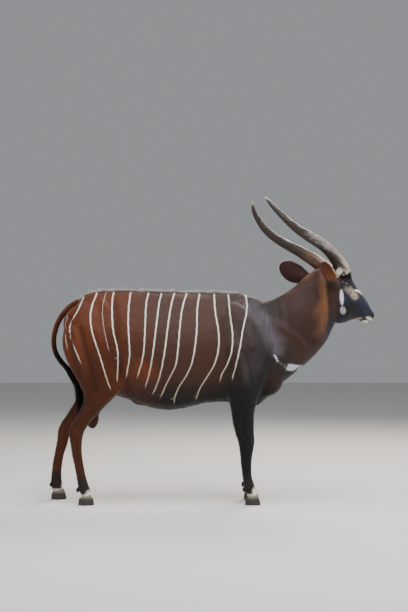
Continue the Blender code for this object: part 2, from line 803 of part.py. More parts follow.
def ear_frame(which):
    """Start, length way, opening way and width way of an ear."""
    start = head_point(*EAR_BASE[which])
    along = EAR_WAY[which].normalized()
    front = EAR_FRONT[which]
    opening = (front - along * front.dot(along)).normalized()
    return start, along, opening, along.cross(opening).normalized()


def build_ear(name, which, home):
    """One broad ear, a cup with a wall of even thickness that closes to a tube at its root."""
    start, along, opening, across = ear_frame(which)
    arc = 9
    rings = []
    for share, wide, deep, wrap, bend in through(EAR, 2):
        reach = EAR_SEAT + GAP + (EAR_LENGTH - EAR_SEAT) * share
        wall = EAR_WALL * (1 - 0.45 * share)
        middle = start + along * reach + opening * bend
        outer = []
        inner = []
        for k in range(arc):
            angle = math.radians(wrap) * (-1 + 2 * k / (arc - 1))
            outer.append(middle + across * wide * math.sin(angle) - opening * deep * math.cos(angle))
            inner.append(middle + across * (wide - wall) * math.sin(angle)
                         - opening * (deep - wall) * math.cos(angle))
        rings.append(outer + inner[::-1])
    points = [p for ring in rings for p in ring]
    size = 2 * arc
    faces = []
    for r in range(len(rings) - 1):
        for k in range(size):
            j = (k + 1) % size
            faces.append((r * size + k, r * size + j, (r + 1) * size + j, (r + 1) * size + k))
    for end in (0, len(rings) - 1):
        for k in range(arc - 1):
            base = end * size
            faces.append((base + k, base + k + 1, base + size - 2 - k, base + size - 1 - k))
    made = mesh_object(name, points, faces, home)
    face_out(made)
    return made


def solid_base(name, which, home):
    """The closed root that fills the tube of an ear near the head."""
    start, along, opening, across = ear_frame(which)
    rings = []
    for reach, wide, deep, shift in ((EAR_SEAT + GAP, 0.0205, 0.0190, 0.0), (0.052, 0.0235, 0.0200, -0.001),
                                     (0.070, 0.0240, 0.0140, -0.009)):
        middle = start + along * reach + opening * shift
        ring = []
        for k in range(14):
            angle = 2 * math.pi * k / 14
            ring.append(middle + across * wide * math.cos(angle) + opening * deep * math.sin(angle))
        rings.append(ring)
    return capped(name, rings, home, (0.0, 0.2))


def skull_shell(home):
    """The head's main form, from inside the neck to the nose."""
    rings = []
    for ta, tz, ba, bz, half, above, below in through(HEAD, 3):
        top = head_point(ta, 0, tz)
        bottom = head_point(ba, 0, bz)
        rings.append(outline(top, bottom, half, above, below, head_way(0, 1, 0), 32))
    return shell("skull", rings, home, 0.35)


def build_head(home):
    """The head with its horn stubs and ear roots, fused into one skin."""
    side = head_way(0, 1, 0)
    parts = [skull_shell(home), neck_shell(home)]
    face = axes(head_way(0.56, 0, -0.83), side)
    for sign in (-1, 1):
        centre = eye_place(sign)
        turn = eye_turn(sign)
        parts.append(ball("orbit", centre - eye_way(sign) * 0.014, (0.031, 0.046, 0.036), home, turn))
        brow = centre + head_way(0.45, sign * 0.10, 0.75) * 0.020 - eye_way(sign) * 0.004
        parts.append(ball("brow", brow, (0.018, 0.036, 0.014), home, turn))
        cheek = head_point(0.004, sign * 0.036, -0.105)
        parts.append(ball("cheek", cheek, (0.090, 0.033, 0.066), home, face))
        bone = head_point(0.085, sign * 0.046, -0.055)
        parts.append(ball("cheekbone", bone, (0.060, 0.022, 0.026), home, face))
        nose = head_spot(0.2339, -0.1759, sign * 0.020)
        parts.append(ball("nose_wing", nose, (0.020, 0.017, 0.019), home, face))
        lip = head_spot(0.2118, -0.1924, sign * 0.022)
        parts.append(ball("lip", lip, (0.026, 0.018, 0.017), home, face))
        here, way = horn_seat(sign)
        rows = []
        for back, radius in ((0.090, 0.050), (0.055, 0.056), (0.028, 0.052), (0.008, 0.0475), (-0.010, 0.0460)):
            place = here - way * back
            rows.append((*place, radius))
        parts.append(tube("pedicle", rows, home, 20, (0.2, 0.05)))
    parts.append(ball("chin", head_spot(0.2053, -0.2137, 0.0), (0.022, 0.024, 0.012), home,
                      axes(head_way(0.89, 0, -0.45), side)))
    for which in ("near", "far"):
        start, along, opening, across = ear_frame(which)
        rows = []
        for reach, radius in ((-0.055, 0.043), (-0.020, 0.038), (0.010, 0.030), (0.030, 0.0255), (0.044, 0.0240)):
            place = start + along * reach
            rows.append((*place, radius))
        parts.append(tube("ear_root", rows, home, 16, (0.2, 0.1)))
    head = merged("whole_head", parts, home)
    blend(head, HEAD_VOXEL, 5, HEAD_TRIANGLES)
    return head


def dress_head(head, home):
    """Cut the seats of horns and ears, the eye sockets, the nostrils and the mouth line."""
    for sign in (-1, 1):
        here, way = horn_seat(sign)
        seat(head, here, way, 0.075, 0.10, home)
    for which in ("near", "far"):
        start, along, opening, across = ear_frame(which)
        seat(head, start + along * EAR_SEAT, along, 0.046, 0.09, home)
    for sign in (-1, 1):
        turn = eye_turn(sign)
        centre = eye_place(sign)
        lid = sphere("lid", centre, EYE_RADIUS + LID_THICKNESS, turn, home)
        join_or_cut(head, lid, "UNION")
        socket = sphere("socket", centre, EYE_RADIUS + GAP, turn, home)
        opening = almond("opening", sign, home, 0.040)
        join_or_cut(socket, opening, "UNION")
        join_or_cut(head, socket, "DIFFERENCE")
    face = axes(head_way(0.56, 0, -0.83), head_way(0, 1, 0))
    for sign in (-1, 1):
        spot = head_spot(0.2482, -0.1736, sign * 0.0215)
        hole = ball("nostril", spot, (0.0105, 0.0072, 0.0052), home,
                    axes(head_way(0.75, sign * 0.45, -0.35), head_way(0, 1, 0)), 2)
        join_or_cut(head, hole, "DIFFERENCE")
    join_or_cut(head, mouth_line(head, home), "DIFFERENCE")


def mouth_line(head, home):
    """A thin tube that follows the lips around the muzzle, from corner to corner."""
    skin = BVHTree.FromPolygons(
        [v.co for v in head.data.vertices], [tuple(p.vertices) for p in head.data.polygons]
    )
    flat = []
    pairs = list(zip(MOUTH[0::2], MOUTH[1::2]))
    rows = through([(a, z) for a, z in pairs], 3)
    for sign in (-1, 1):
        line = []
        for i, (a, z) in enumerate(rows):
            ahead = max(i - 0.62 * len(rows), 0) / (0.38 * len(rows))
            way = head_way(ahead * 1.1, sign * (1 - 0.75 * ahead), -0.15 * ahead)
            start = head_point(a - 0.018 * ahead, 0, z)
            spot, normal, index, distance = skin.ray_cast(start, way, 0.2)
            if spot is not None:
                line.append(spot)
        flat.append(line)
    path = flat[0] + flat[1][::-1]
    rows = []
    for i, place in enumerate(path):
        edge = min(i, len(path) - 1 - i)
        rows.append((*place, MOUTH_RADIUS * min(1.0, 0.45 + 0.3 * edge)))
    return tube("mouth", rows, home, 6, (0.3, 0.3), cross=head_way(0.4, 0.1, 0.9))


def hoof_plane(x):
    """A point on the slanted joint between a leg and its hooves, and the joint's normal."""
    return Vector((x, 0, HOOF_TOP)), Vector((-HOOF_SLOPE, 0, 1)).normalized()


def build_hoof(name, x, y, toe, home):
    """One half of a cloven hoof, flat below and slanted above."""
    point, normal = hoof_plane(x)
    count = 18
    rings = []
    for level, size, back in ((0.0, 0.97, 0.0), (0.006, 1.0, 0.0005), (0.024, 0.91, 0.006), (None, 0.80, 0.010)):
        ring = []
        for i in range(count):
            angle = 2 * math.pi * i / count
            long = math.cos(angle)
            wide = math.sin(angle)
            inner = wide * toe < 0
            half = 0.0135 if inner else 0.0205
            pinch = 1 - 0.42 * max(long, 0) ** 2 - 0.10 * max(-long, 0) ** 3
            px = x + 0.004 + long * 0.044 * size - back
            py = y + toe * 0.0170 + half * wide * pinch * (size if not inner else 1.0)
            if level is None:
                lean = px - x
                pz = HOOF_TOP + HOOF_SLOPE * lean - GAP * 1.15
            else:
                pz = level
            ring.append(Vector((px, py, pz)))
        rings.append(ring)
    return capped(name, rings, home, (0.0, 0.0))


def lock(name, root, along, lift, length, width, thick, rise, home):
    """A flat tapered lock with four corners a section, bending along its lie."""
    across = along.cross(lift).normalized()
    up = across.cross(along).normalized()
    rings = []
    for t, wide, fat in ((-0.30, 0.75, 0.9), (0.15, 1.0, 1.0), (0.55, 0.80, 0.75), (1.0, 0.16, 0.30)):
        middle = root + along * length * t + up * rise * (1 - (1 - max(t, 0)) ** 2) - up * max(-t, 0) * 0.012
        rings.append([
            middle + across * width * wide / 2,
            middle + up * thick * fat / 2,
            middle - across * width * wide / 2,
            middle - up * thick * fat / 2,
        ])
    points = [p for ring in rings for p in ring]
    faces = [(3, 2, 1, 0), (12, 13, 14, 15)]
    for r in range(3):
        for i in range(4):
            j = (i + 1) % 4
            faces.append((r * 4 + i, r * 4 + j, r * 4 + 4 + j, r * 4 + 4 + i))
    made = mesh_object(name, points, faces, home)
    face_out(made)
    return made


def fuse_locks(item, bunch):
    """Join a collection of closed locks to the node that they grow from, then remove them."""
    step = item.modifiers.new("locks", "BOOLEAN")
    step.operation = "UNION"
    step.solver = "EXACT"
    step.operand_type = "COLLECTION"
    step.collection = bunch
    apply_all(item)
    for piece in list(bunch.objects):
        bpy.data.objects.remove(piece, do_unlink=True)
    largest(item)


def crest_locks(torso, bunch):
    """Rows of short bristly locks along the back, lying towards the tail."""
    skin = BVHTree.FromPolygons(
        [v.co for v in torso.data.vertices], [tuple(p.vertices) for p in torso.data.polygons]
    )
    count = CREST_LOCKS
    first = CREST[0]
    last = CREST[-2]
    for i in range(count):
        x = last + (first + 0.02 - last) * (i + random.uniform(-0.2, 0.2)) / (count - 1)
        y = (0.0035 if i % 2 else -0.0035) + random.uniform(-0.001, 0.001)
        hit, normal, index, far = skin.ray_cast(Vector((x, y, 2.0)), Vector((0, 0, -1)))
        if hit is None:
            continue
        slope = Vector((-normal.z, 0, normal.x)).normalized()
        along = (slope + Vector((0, random.uniform(-0.10, 0.10), 0))).normalized()
        length = CREST_LENGTH * random.uniform(0.85, 1.15)
        rise = CREST_RISE * random.uniform(0.8, 1.1)
        lock("lock", hit - normal * 0.0015, along, normal, length, 0.0135, 0.0062, rise, bunch)
    fuse_locks(torso, bunch)


def tuft_locks(tail, bunch):
    """Long dark locks around the end of the tail."""
    rows = through(TAIL, 2)
    count = TUFT_LOCKS
    for i in range(count):
        share = i / (count - 1)
        at = int(round(20 + share * 4.6))
        here = Vector((rows[at][0], rows[at][2], rows[at][1]))
        ahead = Vector((rows[at + 1][0], rows[at + 1][2], rows[at + 1][1]))
        along = (ahead - here).normalized()
        angle = i * 2.4
        turn = axes(along, Vector((0, 1, 0)))
        out = turn @ Vector((0, math.cos(angle), math.sin(angle)))
        root = here + out * rows[at][3] * 0.72
        length = 0.085 * random.uniform(0.85, 1.15)
        aim = (along + out * 0.02).normalized()
        lock("lock", root, aim, out, length, 0.018, 0.007, 0.003, bunch)
    fuse_locks(tail, bunch)


def paint(item, name, cache={}):
    """Give an object its only material."""
    if name not in cache:
        cache[name] = coat(name)
    item.data.materials.clear()
    item.data.materials.append(cache[name])
    for face in item.data.polygons:
        face.material_index = 0


def settle(home):
    """Move the whole model so the middle of its box stands over the origin, with its feet at zero."""
    low = Vector((1e9, 1e9, 1e9))
    high = Vector((-1e9, -1e9, -1e9))
    for item in home.objects:
        for v in item.data.vertices:
            for axis in range(3):
                low[axis] = min(low[axis], v.co[axis])
                high[axis] = max(high[axis], v.co[axis])
    move = Vector((-(low.x + high.x) / 2, -(low.y + high.y) / 2, -low.z))
    for item in home.objects:
        item.data.transform(Matrix.Translation(move))
        item.data.update()
    print("moved by", tuple(round(c, 5) for c in move))


def main():
    """Build the model."""
    clear_scene()
    home = collection("bongo")
    work = collection("cutters", hidden=True)
    random.seed(SEED)

    body = build_body(work)
    start, way = tail_way()
    seat(body, start, way, 0.034, 0.05, work)
    join_or_cut(body, build_tail(work, 0.004), "DIFFERENCE")
    largest(body)

    up = Vector((0, 0, 1))
    level = Vector((0, 0, LEG_CUT_Z))
    upper = sliced(body, "upper", level + up * GAP / 2, up, work)
    lower = sliced(body, "lower", level - up * GAP / 2, -up, work)
    bpy.data.objects.remove(body, do_unlink=True)

    top = Vector((NECK_CUT_TOP[0], 0, NECK_CUT_TOP[1]))
    bottom = Vector((NECK_CUT_BOTTOM[0], 0, NECK_CUT_BOTTOM[1]))
    ahead = Vector((0, 1, 0)).cross(bottom - top).normalized()
    if ahead.x < 0:
        ahead = -ahead
    torso = sliced(upper, "torso", top - ahead * GAP / 2, -ahead, home)
    front = sliced(upper, "front", top + ahead * GAP / 2, ahead, work)
    bpy.data.objects.remove(upper, do_unlink=True)

    top = Vector((HEAD_CUT_TOP[0], 0, HEAD_CUT_TOP[1]))
    bottom = Vector((HEAD_CUT_BOTTOM[0], 0, HEAD_CUT_BOTTOM[1]))
    ahead = Vector((0, 1, 0)).cross(bottom - top).normalized()
    if ahead.x < 0:
        ahead = -ahead
    neck = sliced(front, "neck", top - ahead * GAP / 2, -ahead, home)
    bpy.data.objects.remove(front, do_unlink=True)

    whole = build_head(work)
    head = sliced(whole, "head", top + ahead * GAP / 2, ahead, home)
    bpy.data.objects.remove(whole, do_unlink=True)
    dress_head(head, work)
    largest(head)

    bunch = collection("locks")
    crest_locks(torso, bunch)

    def leg_name(middle):
        if abs(middle.y) < 0.06:
            return "scrotum"
        row = "fore" if middle.x > -0.2 else "hind"
        return f"{row}leg_{'right' if middle.y < 0 else 'left'}"

    hooves = []
    for leg in split(lower, leg_name, work):
        if leg.name == "scrotum":
            final = leg.data.copy()
            name = "scrotum"
            bpy.data.objects.remove(leg, do_unlink=True)
            item = bpy.data.objects.new(name, final)
            home.objects.link(item)
            continue
        near = [v.co for v in leg.data.vertices if v.co.z < 0.075]
        x = (min(p.x for p in near) + max(p.x for p in near)) / 2 + 0.004
        y = (min(p.y for p in near) + max(p.y for p in near)) / 2
        point, normal = hoof_plane(x)
        name = leg.name
        leg.name = "old"
        sliced(leg, name, point, normal, home)
        bpy.data.objects.remove(leg, do_unlink=True)
        for toe, title in ((-1, "right"), (1, "left")):
            hooves.append(build_hoof(f"hoof_{name[:4]}_{name.split('_')[1]}_{title}_toe", x, y, toe, home))

    tail = build_tail(home)
    tuft_locks(tail, bunch)
    horns = [build_horn("horn_right", -1, home), build_horn("horn_left", 1, home)]
    eyes = [
        sphere("eye_right", eye_place(-1), EYE_RADIUS, eye_turn(-1), home),
        sphere("eye_left", eye_place(1), EYE_RADIUS, eye_turn(1), home),
    ]
    ears = []
    for name, which in (("ear_right", "near"), ("ear_left", "far")):
        ear = build_ear(name, which, home)
        join_or_cut(ear, solid_base("base", which, work), "UNION")
        largest(ear)
        ears.append(ear)

    for item in list(home.objects):
        if item.name.startswith("hoof"):
            paint(item, "hoof")
        elif item.name.startswith("hindleg") or item.name == "scrotum":
            paint(item, "shank")
        elif item.name.startswith("foreleg"):
            paint(item, "foreshank")
    paint(torso, "chestnut")
    paint(neck, "neck")
    paint(head, "face")
    paint(tail, "tail")
    for item in horns:
        paint(item, "horn")
    for item in eyes:
        paint(item, "eye")
    for item in ears:
        paint(item, "ear")
    bpy.data.collections.remove(bunch)
    settle(home)
    for item in sorted(home.objects, key=lambda o: o.name):
        count = sum(len(p.vertices) - 2 for p in item.data.polygons)
        print(item.name, count)


main()
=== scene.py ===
"""Dressed picture model of an adult male bongo antelope, standing on its four feet.

The nose points along +X, +Z is up and the animal's right side faces -Y. All sizes are in metres.
Shapes are made in the frame of the tables below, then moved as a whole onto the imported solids.
"""
from __future__ import annotations

import logging
import math
from collections.abc import Callable
from dataclasses import dataclass
from dataclasses import field
from enum import Enum

import bmesh
import bpy
import numpy as np
from mathutils import Matrix
from mathutils import Vector
from mathutils.bvhtree import BVHTree


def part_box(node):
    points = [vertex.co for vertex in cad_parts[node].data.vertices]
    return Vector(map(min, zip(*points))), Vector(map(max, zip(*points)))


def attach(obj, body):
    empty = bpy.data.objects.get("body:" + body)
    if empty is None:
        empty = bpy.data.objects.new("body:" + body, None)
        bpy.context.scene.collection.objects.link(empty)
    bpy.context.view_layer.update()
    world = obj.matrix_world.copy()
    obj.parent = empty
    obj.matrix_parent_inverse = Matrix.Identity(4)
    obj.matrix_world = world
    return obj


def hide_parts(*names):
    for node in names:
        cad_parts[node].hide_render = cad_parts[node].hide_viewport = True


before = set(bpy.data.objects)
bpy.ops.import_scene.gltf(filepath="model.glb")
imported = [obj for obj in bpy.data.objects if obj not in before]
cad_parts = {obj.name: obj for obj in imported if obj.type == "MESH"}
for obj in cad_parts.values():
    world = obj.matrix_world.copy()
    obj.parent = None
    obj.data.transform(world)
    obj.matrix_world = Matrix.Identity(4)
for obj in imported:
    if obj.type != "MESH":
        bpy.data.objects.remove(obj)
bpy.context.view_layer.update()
log = logging.getLogger("bongo")
logging.basicConfig(level=logging.INFO, format="%(message)s")

SEED = 41
SKIN_VOXEL = 0.0034
SKIN_TRIANGLES = 112000
# Metres to one step of the side view's chart on the flank.
CHART_STEP = 0.0058
# The longest edge near a marking after each pass, and how near to its middle the pass reaches.
CRISP_PASSES = ((0.040, 0.060), (0.022, 0.032), (0.0130, 0.017), (0.0088, 0.0095), (0.0065, 0.0))
# Grooves of the face: depth and width, then height, distance and width of the swelling beside them.
GROOVES = {
    "mouth": (0.0030, 0.0013, 0.0011, 0.0042, 0.0026),
    "nostril": (0.0085, 0.0030, 0.0014, 0.0062, 0.0028),
}
# Tufts to a square metre of the short coat.
BODY_TUFTS = 17500
FACE_TUFTS = 66000
FOOT_TUFTS = 40000
CREST_TUFTS = 1900
FRINGE_TUFTS = 760
STANDING_TUFTS = 170
EAR_TUFTS = 5200
EAR_INSIDE_TUFTS = 900
LASHES = 120
PIECE_TRIANGLES = 150000
PHOTO_FOCAL = 1525.4237
PHOTO_PLACE = Vector((-0.052, -9.0, 1.155))
PHOTO_MIDDLE = (204.0, 306.0)

HEAD_CUT_TOP = (0.6383, 1.4146)
HEAD_CUT_BOTTOM = (0.6914, 1.0134)

HEAD_PIVOT = Vector((0.7213, 0.0, 1.279))
HEAD_YAW = math.radians(25.0)
HEAD_ROLL = math.radians(9.0)
HEAD_ROLL_AXIS = Vector((math.cos(math.radians(30)), 0.0, -math.sin(math.radians(30))))
HEAD_FRAME = (
    Matrix.Translation(HEAD_PIVOT)
    @ Matrix.Rotation(HEAD_YAW, 4, "Z")
    @ Matrix.Rotation(-HEAD_ROLL, 4, HEAD_ROLL_AXIS)
)

EYE_RADIUS = 0.0195
EYE_CENTRE = (0.031, 0.0680, -0.008)
EYE_LONG = 0.0176
EYE_TALL = 0.0118


# Trunk sections: x, top, bottom, half width, narrowing above, narrowing below.
TRUNK = [
    (-0.8662, 1.0783, 0.9367, 0.085, 0.10, 0.10),
    (-0.8308, 1.1373, 0.8718, 0.135, 0.15, 0.10),
    (-0.7836, 1.1880, 0.7892, 0.172, 0.20, 0.10),
    (-0.7246, 1.2293, 0.7125, 0.200, 0.26, 0.10),
    (-0.6479, 1.2411, 0.6535, 0.220, 0.30, 0.10),
    (-0.5594, 1.2441, 0.6240, 0.232, 0.30, 0.08),
    (-0.4886, 1.2441, 0.6004, 0.243, 0.28, 0.06),
    (-0.4178, 1.2411, 0.5738, 0.256, 0.26, 0.04),
    (-0.3352, 1.2382, 0.5502, 0.266, 0.24, 0.02),
    (-0.2408, 1.2382, 0.5426, 0.270, 0.24, 0.00),
    (-0.1346, 1.2352, 0.5620, 0.262, 0.28, 0.02),
    (-0.0284, 1.2323, 0.5856, 0.243, 0.34, 0.06),
    (0.0778, 1.2323, 0.5886, 0.219, 0.42, 0.12),
    (0.1781, 1.2293, 0.5709, 0.196, 0.48, 0.18),
    (0.2548, 1.2087, 0.5679, 0.172, 0.48, 0.22),
    (0.3138, 1.1792, 0.6299, 0.140, 0.42, 0.22),
]

# Neck sections: top x, top z, bottom x, bottom z, half width, narrowing above, narrowing below.
NECK = [
    (0.0896, 1.2081, 0.1604, 0.5886, 0.200, 0.45, 0.20),
    (0.2076, 1.2022, 0.2725, 0.5709, 0.186, 0.48, 0.25),
    (0.2902, 1.1845, 0.3669, 0.6623, 0.166, 0.48, 0.28),
    (0.3669, 1.2022, 0.4584, 0.7361, 0.146, 0.44, 0.30),
    (0.4377, 1.2465, 0.5498, 0.8098, 0.127, 0.38, 0.28),
    (0.5026, 1.2937, 0.6206, 0.8777, 0.110, 0.42, 0.25),
    (0.5675, 1.3556, 0.6737, 0.9426, 0.096, 0.42, 0.22),
    (0.6206, 1.3851, 0.7003, 1.0045, 0.084, 0.44, 0.20),
    (0.6796, 1.3851, 0.7268, 1.0606, 0.074, 0.40, 0.20),
]

# Leg sections: rear x, front x, height, middle y, half width.
HIND_NEAR = [
    (-0.8204, -0.6341, 1.1550, -0.075, 0.070),
    (-0.8553, -0.5992, 1.0735, -0.100, 0.090),
    (-0.8815, -0.5759, 0.9862, -0.114, 0.098),
    (-0.8757, -0.5526, 0.8872, -0.120, 0.098),
    (-0.8408, -0.5323, 0.8057, -0.124, 0.092),
    (-0.8000, -0.5206, 0.7300, -0.127, 0.083),
    (-0.7622, -0.5352, 0.6660, -0.131, 0.072),
    (-0.7498, -0.5811, 0.6142, -0.136, 0.062),
    (-0.7664, -0.6328, 0.5626, -0.140, 0.053),
    (-0.7925, -0.6764, 0.5161, -0.142, 0.046),
    (-0.8245, -0.7170, 0.4696, -0.143, 0.040),
    (-0.8384, -0.7432, 0.4290, -0.143, 0.036),
    (-0.8344, -0.7548, 0.3883, -0.143, 0.033),
    (-0.8268, -0.7589, 0.3418, -0.142, 0.028),
    (-0.8175, -0.7571, 0.2838, -0.141, 0.0245),
    (-0.8059, -0.7478, 0.2257, -0.140, 0.0235),
    (-0.7955, -0.7362, 0.1676, -0.140, 0.0240),
    (-0.7885, -0.7223, 0.1211, -0.140, 0.0275),
    (-0.7815, -0.7107, 0.0892, -0.140, 0.0305),
    (-0.7676, -0.7025, 0.0572, -0.140, 0.0285),
    (-0.7548, -0.6880, 0.0224, -0.140, 0.0290),
]
HIND_FAR = [
    (-0.8352, -0.6499, 1.1490, 0.075, 0.070),
    (-0.8711, -0.6140, 1.0713, 0.100, 0.090),
    (-0.8920, -0.5901, 0.9816, 0.114, 0.098),
    (-0.8860, -0.5721, 0.8800, 0.120, 0.098),
    (-0.8591, -0.5572, 0.7963, 0.124, 0.092),
    (-0.8292, -0.5512, 0.7186, 0.127, 0.083),
    (-0.8083, -0.5781, 0.6528, 0.131, 0.072),
    (-0.8181, -0.6386, 0.5984, 0.136, 0.062),
    (-0.8459, -0.7051, 0.5498, 0.140, 0.053),
    (-0.8759, -0.7590, 0.5019, 0.142, 0.046),
    (-0.9088, -0.8160, 0.4540, 0.143, 0.040),
    (-0.9268, -0.8459, 0.4120, 0.143, 0.036),
    (-0.9310, -0.8579, 0.3701, 0.143, 0.033),
    (-0.9388, -0.8699, 0.3221, 0.142, 0.028),
    (-0.9496, -0.8879, 0.2682, 0.141, 0.0245),
    (-0.9592, -0.8980, 0.2143, 0.140, 0.0235),
    (-0.9663, -0.9040, 0.1604, 0.140, 0.0240),
    (-0.9711, -0.9028, 0.1184, 0.140, 0.0275),
    (-0.9711, -0.8980, 0.0885, 0.140, 0.0305),
    (-0.9628, -0.8944, 0.0555, 0.140, 0.0285),
    (-0.9538, -0.8849, 0.0226, 0.140, 0.0290),
]
FORE = [
    (0.1343, 0.2624, 1.0851, 0.095, 0.060),
    (0.0994, 0.2973, 0.9862, 0.118, 0.082),
    (0.0819, 0.3206, 0.8872, 0.128, 0.090),
    (0.0761, 0.3206, 0.7941, 0.132, 0.088),
    (0.0790, 0.3031, 0.7126, 0.133, 0.080),
    (0.0877, 0.2740, 0.6427, 0.132, 0.068),
    (0.0980, 0.2562, 0.5910, 0.130, 0.057),
    (0.1097, 0.2422, 0.5328, 0.130, 0.048),
    (0.1178, 0.2405, 0.4689, 0.130, 0.042),
    (0.1317, 0.2411, 0.4107, 0.130, 0.037),
    (0.1457, 0.2440, 0.3700, 0.130, 0.037),
    (0.1544, 0.2393, 0.3293, 0.130, 0.034),
    (0.1620, 0.2294, 0.2712, 0.130, 0.0265),
    (0.1678, 0.2259, 0.2130, 0.130, 0.0245),
    (0.1725, 0.2289, 0.1607, 0.130, 0.0250),
    (0.1771, 0.2399, 0.1200, 0.130, 0.0285),
    (0.1829, 0.2539, 0.0880, 0.130, 0.0315),
    (0.1957, 0.2632, 0.0560, 0.130, 0.0295),
    (0.2097, 0.2783, 0.0211, 0.130, 0.0300),
]

# Head sections in the head's own frame: forward and height of the top, of the bottom, half width,
# narrowing above, narrowing below.
HEAD = [
    (-0.1241, 0.0766, -0.0851, -0.2184, 0.052, 0.30, 0.20),
    (-0.0721, 0.0973, -0.0395, -0.2243, 0.066, 0.26, 0.20),
    (-0.0200, 0.1061, 0.0028, -0.2302, 0.079, 0.20, 0.22),
    (0.0321, 0.1032, 0.0354, -0.2278, 0.083, 0.16, 0.30),
    (0.0744, 0.0825, 0.0647, -0.2208, 0.083, 0.12, 0.40),
    (0.1024, 0.0501, 0.0874, -0.2125, 0.079, 0.14, 0.45),
    (0.1265, 0.0147, 0.1089, -0.2078, 0.070, 0.18, 0.45),
    (0.1571, -0.0225, 0.1298, -0.2066, 0.059, 0.22, 0.40),
    (0.1870, -0.0532, 0.1519, -0.2125, 0.050, 0.24, 0.34),
    (0.2131, -0.0874, 0.1727, -0.2184, 0.044, 0.22, 0.26),
    (0.2326, -0.1240, 0.1936, -0.2231, 0.041, 0.18, 0.20),
    (0.2469, -0.1553, 0.2144, -0.2243, 0.037, 0.16, 0.20),
    (0.2574, -0.1771, 0.2365, -0.2172, 0.026, 0.10, 0.10),
]

# The nodes that the one skin replaces.
FLESH = ("torso", "neck", "head", "foreleg_left", "foreleg_right", "hindleg_left", "hindleg_right",
         "scrotum")

# A nostril's slit in the head's own frame: forward, height, distance from the middle.
NOSTRIL = [
    (0.2520, -0.1640, 0.0160),
    (0.2500, -0.1690, 0.0235),
    (0.2440, -0.1760, 0.0270),
    (0.2380, -0.1760, 0.0290),
]
MOUTH = [0.1460, -0.1724, 0.1688, -0.1806, 0.1949, -0.1924, 0.2176, -0.2042, 0.2391, -0.2101]

# Horn centre line in the head's own frame: forward, height, distance from the middle, radius.
HORN = [
    (0.0230, 0.0554, 0.046, 0.0440),
    (0.0074, 0.0872, 0.056, 0.0430),
    (-0.0206, 0.1226, 0.074, 0.0400),
    (-0.0629, 0.1616, 0.094, 0.0375),
    (-0.1144, 0.1952, 0.112, 0.0345),
    (-0.1690, 0.2253, 0.123, 0.0318),
    (-0.2270, 0.2536, 0.131, 0.0292),
    (-0.2843, 0.2813, 0.135, 0.0266),
    (-0.3403, 0.3132, 0.135, 0.0236),
    (-0.3891, 0.3515, 0.128, 0.0206),
    (-0.4301, 0.3964, 0.115, 0.0172),
    (-0.4659, 0.4436, 0.098, 0.0130),
    (-0.4926, 0.4955, 0.072, 0.0042),
]
HORN_SEAT = 1
HORN_TURNS = 0.85
HORN_KEEL = 0.20

EAR_LENGTH = 0.268
EAR_SEAT = 0.036
# Ear sections: share of the length, half width, depth, how far the wall wraps round in degrees, bend.
EAR = [
    (0.00, 0.0235, 0.0215, 150.0, 0.000),
    (0.12, 0.0300, 0.0250, 136.0, -0.002),
    (0.26, 0.0430, 0.0285, 118.0, -0.006),
    (0.42, 0.0550, 0.0290, 102.0, -0.010),
    (0.58, 0.0590, 0.0265, 92.0, -0.012),
    (0.73, 0.0540, 0.0220, 86.0, -0.011),
    (0.86, 0.0400, 0.0160, 80.0, -0.007),
    (0.95, 0.0230, 0.0105, 76.0, -0.002),
    (1.00, 0.0085, 0.0060, 72.0, 0.002),
]
EAR_BASE = {"near": (-0.070, -0.078, 0.006), "far": (-0.066, 0.095, 0.022)}
EAR_WAY = {"near": Vector((-0.17, -0.90, 0.38)), "far": Vector((-0.79, 0.46, 0.42))}

EAR_FRONT = {"near": Vector((0.72, 0.35, 0.66)), "far": Vector((0.80, 0.75, -0.10))}

# Tail: centre x and z, middle y, radius.
TAIL = [
    (-0.7801, 1.1762, 0.000, 0.0230),
    (-0.8102, 1.1656, 0.000, 0.0205),
    (-0.8456, 1.1432, 0.000, 0.0180),
    (-0.8792, 1.1102, 0.000, 0.0165),
    (-0.9063, 1.0700, 0.000, 0.0158),
    (-0.9240, 1.0276, 0.000, 0.0155),
    (-0.9352, 0.9804, 0.000, 0.0152),
    (-0.9370, 0.9284, 0.001, 0.0152),
    (-0.9252, 0.8777, 0.002, 0.0155),
    (-0.8957, 0.8281, 0.004, 0.0165),
    (-0.8544, 0.7809, 0.006, 0.0190),
    (-0.8190, 0.7302, 0.006, 0.0230),
    (-0.8013, 0.6712, 0.004, 0.0240),
    (-0.7930, 0.6063, 0.002, 0.0190),
    (-0.7895, 0.5532, 0.000, 0.0080),
]

# The white crest along the back, as x and z of its tips.
CREST = [-0.7718, 1.2111, -0.7246, 1.2435, -0.6656, 1.2553, -0.4886, 1.2612, -0.2821, 1.2553,
         -0.0756, 1.2465, 0.1014, 1.2476, 0.1486, 1.2577, 0.1899, 1.2317]
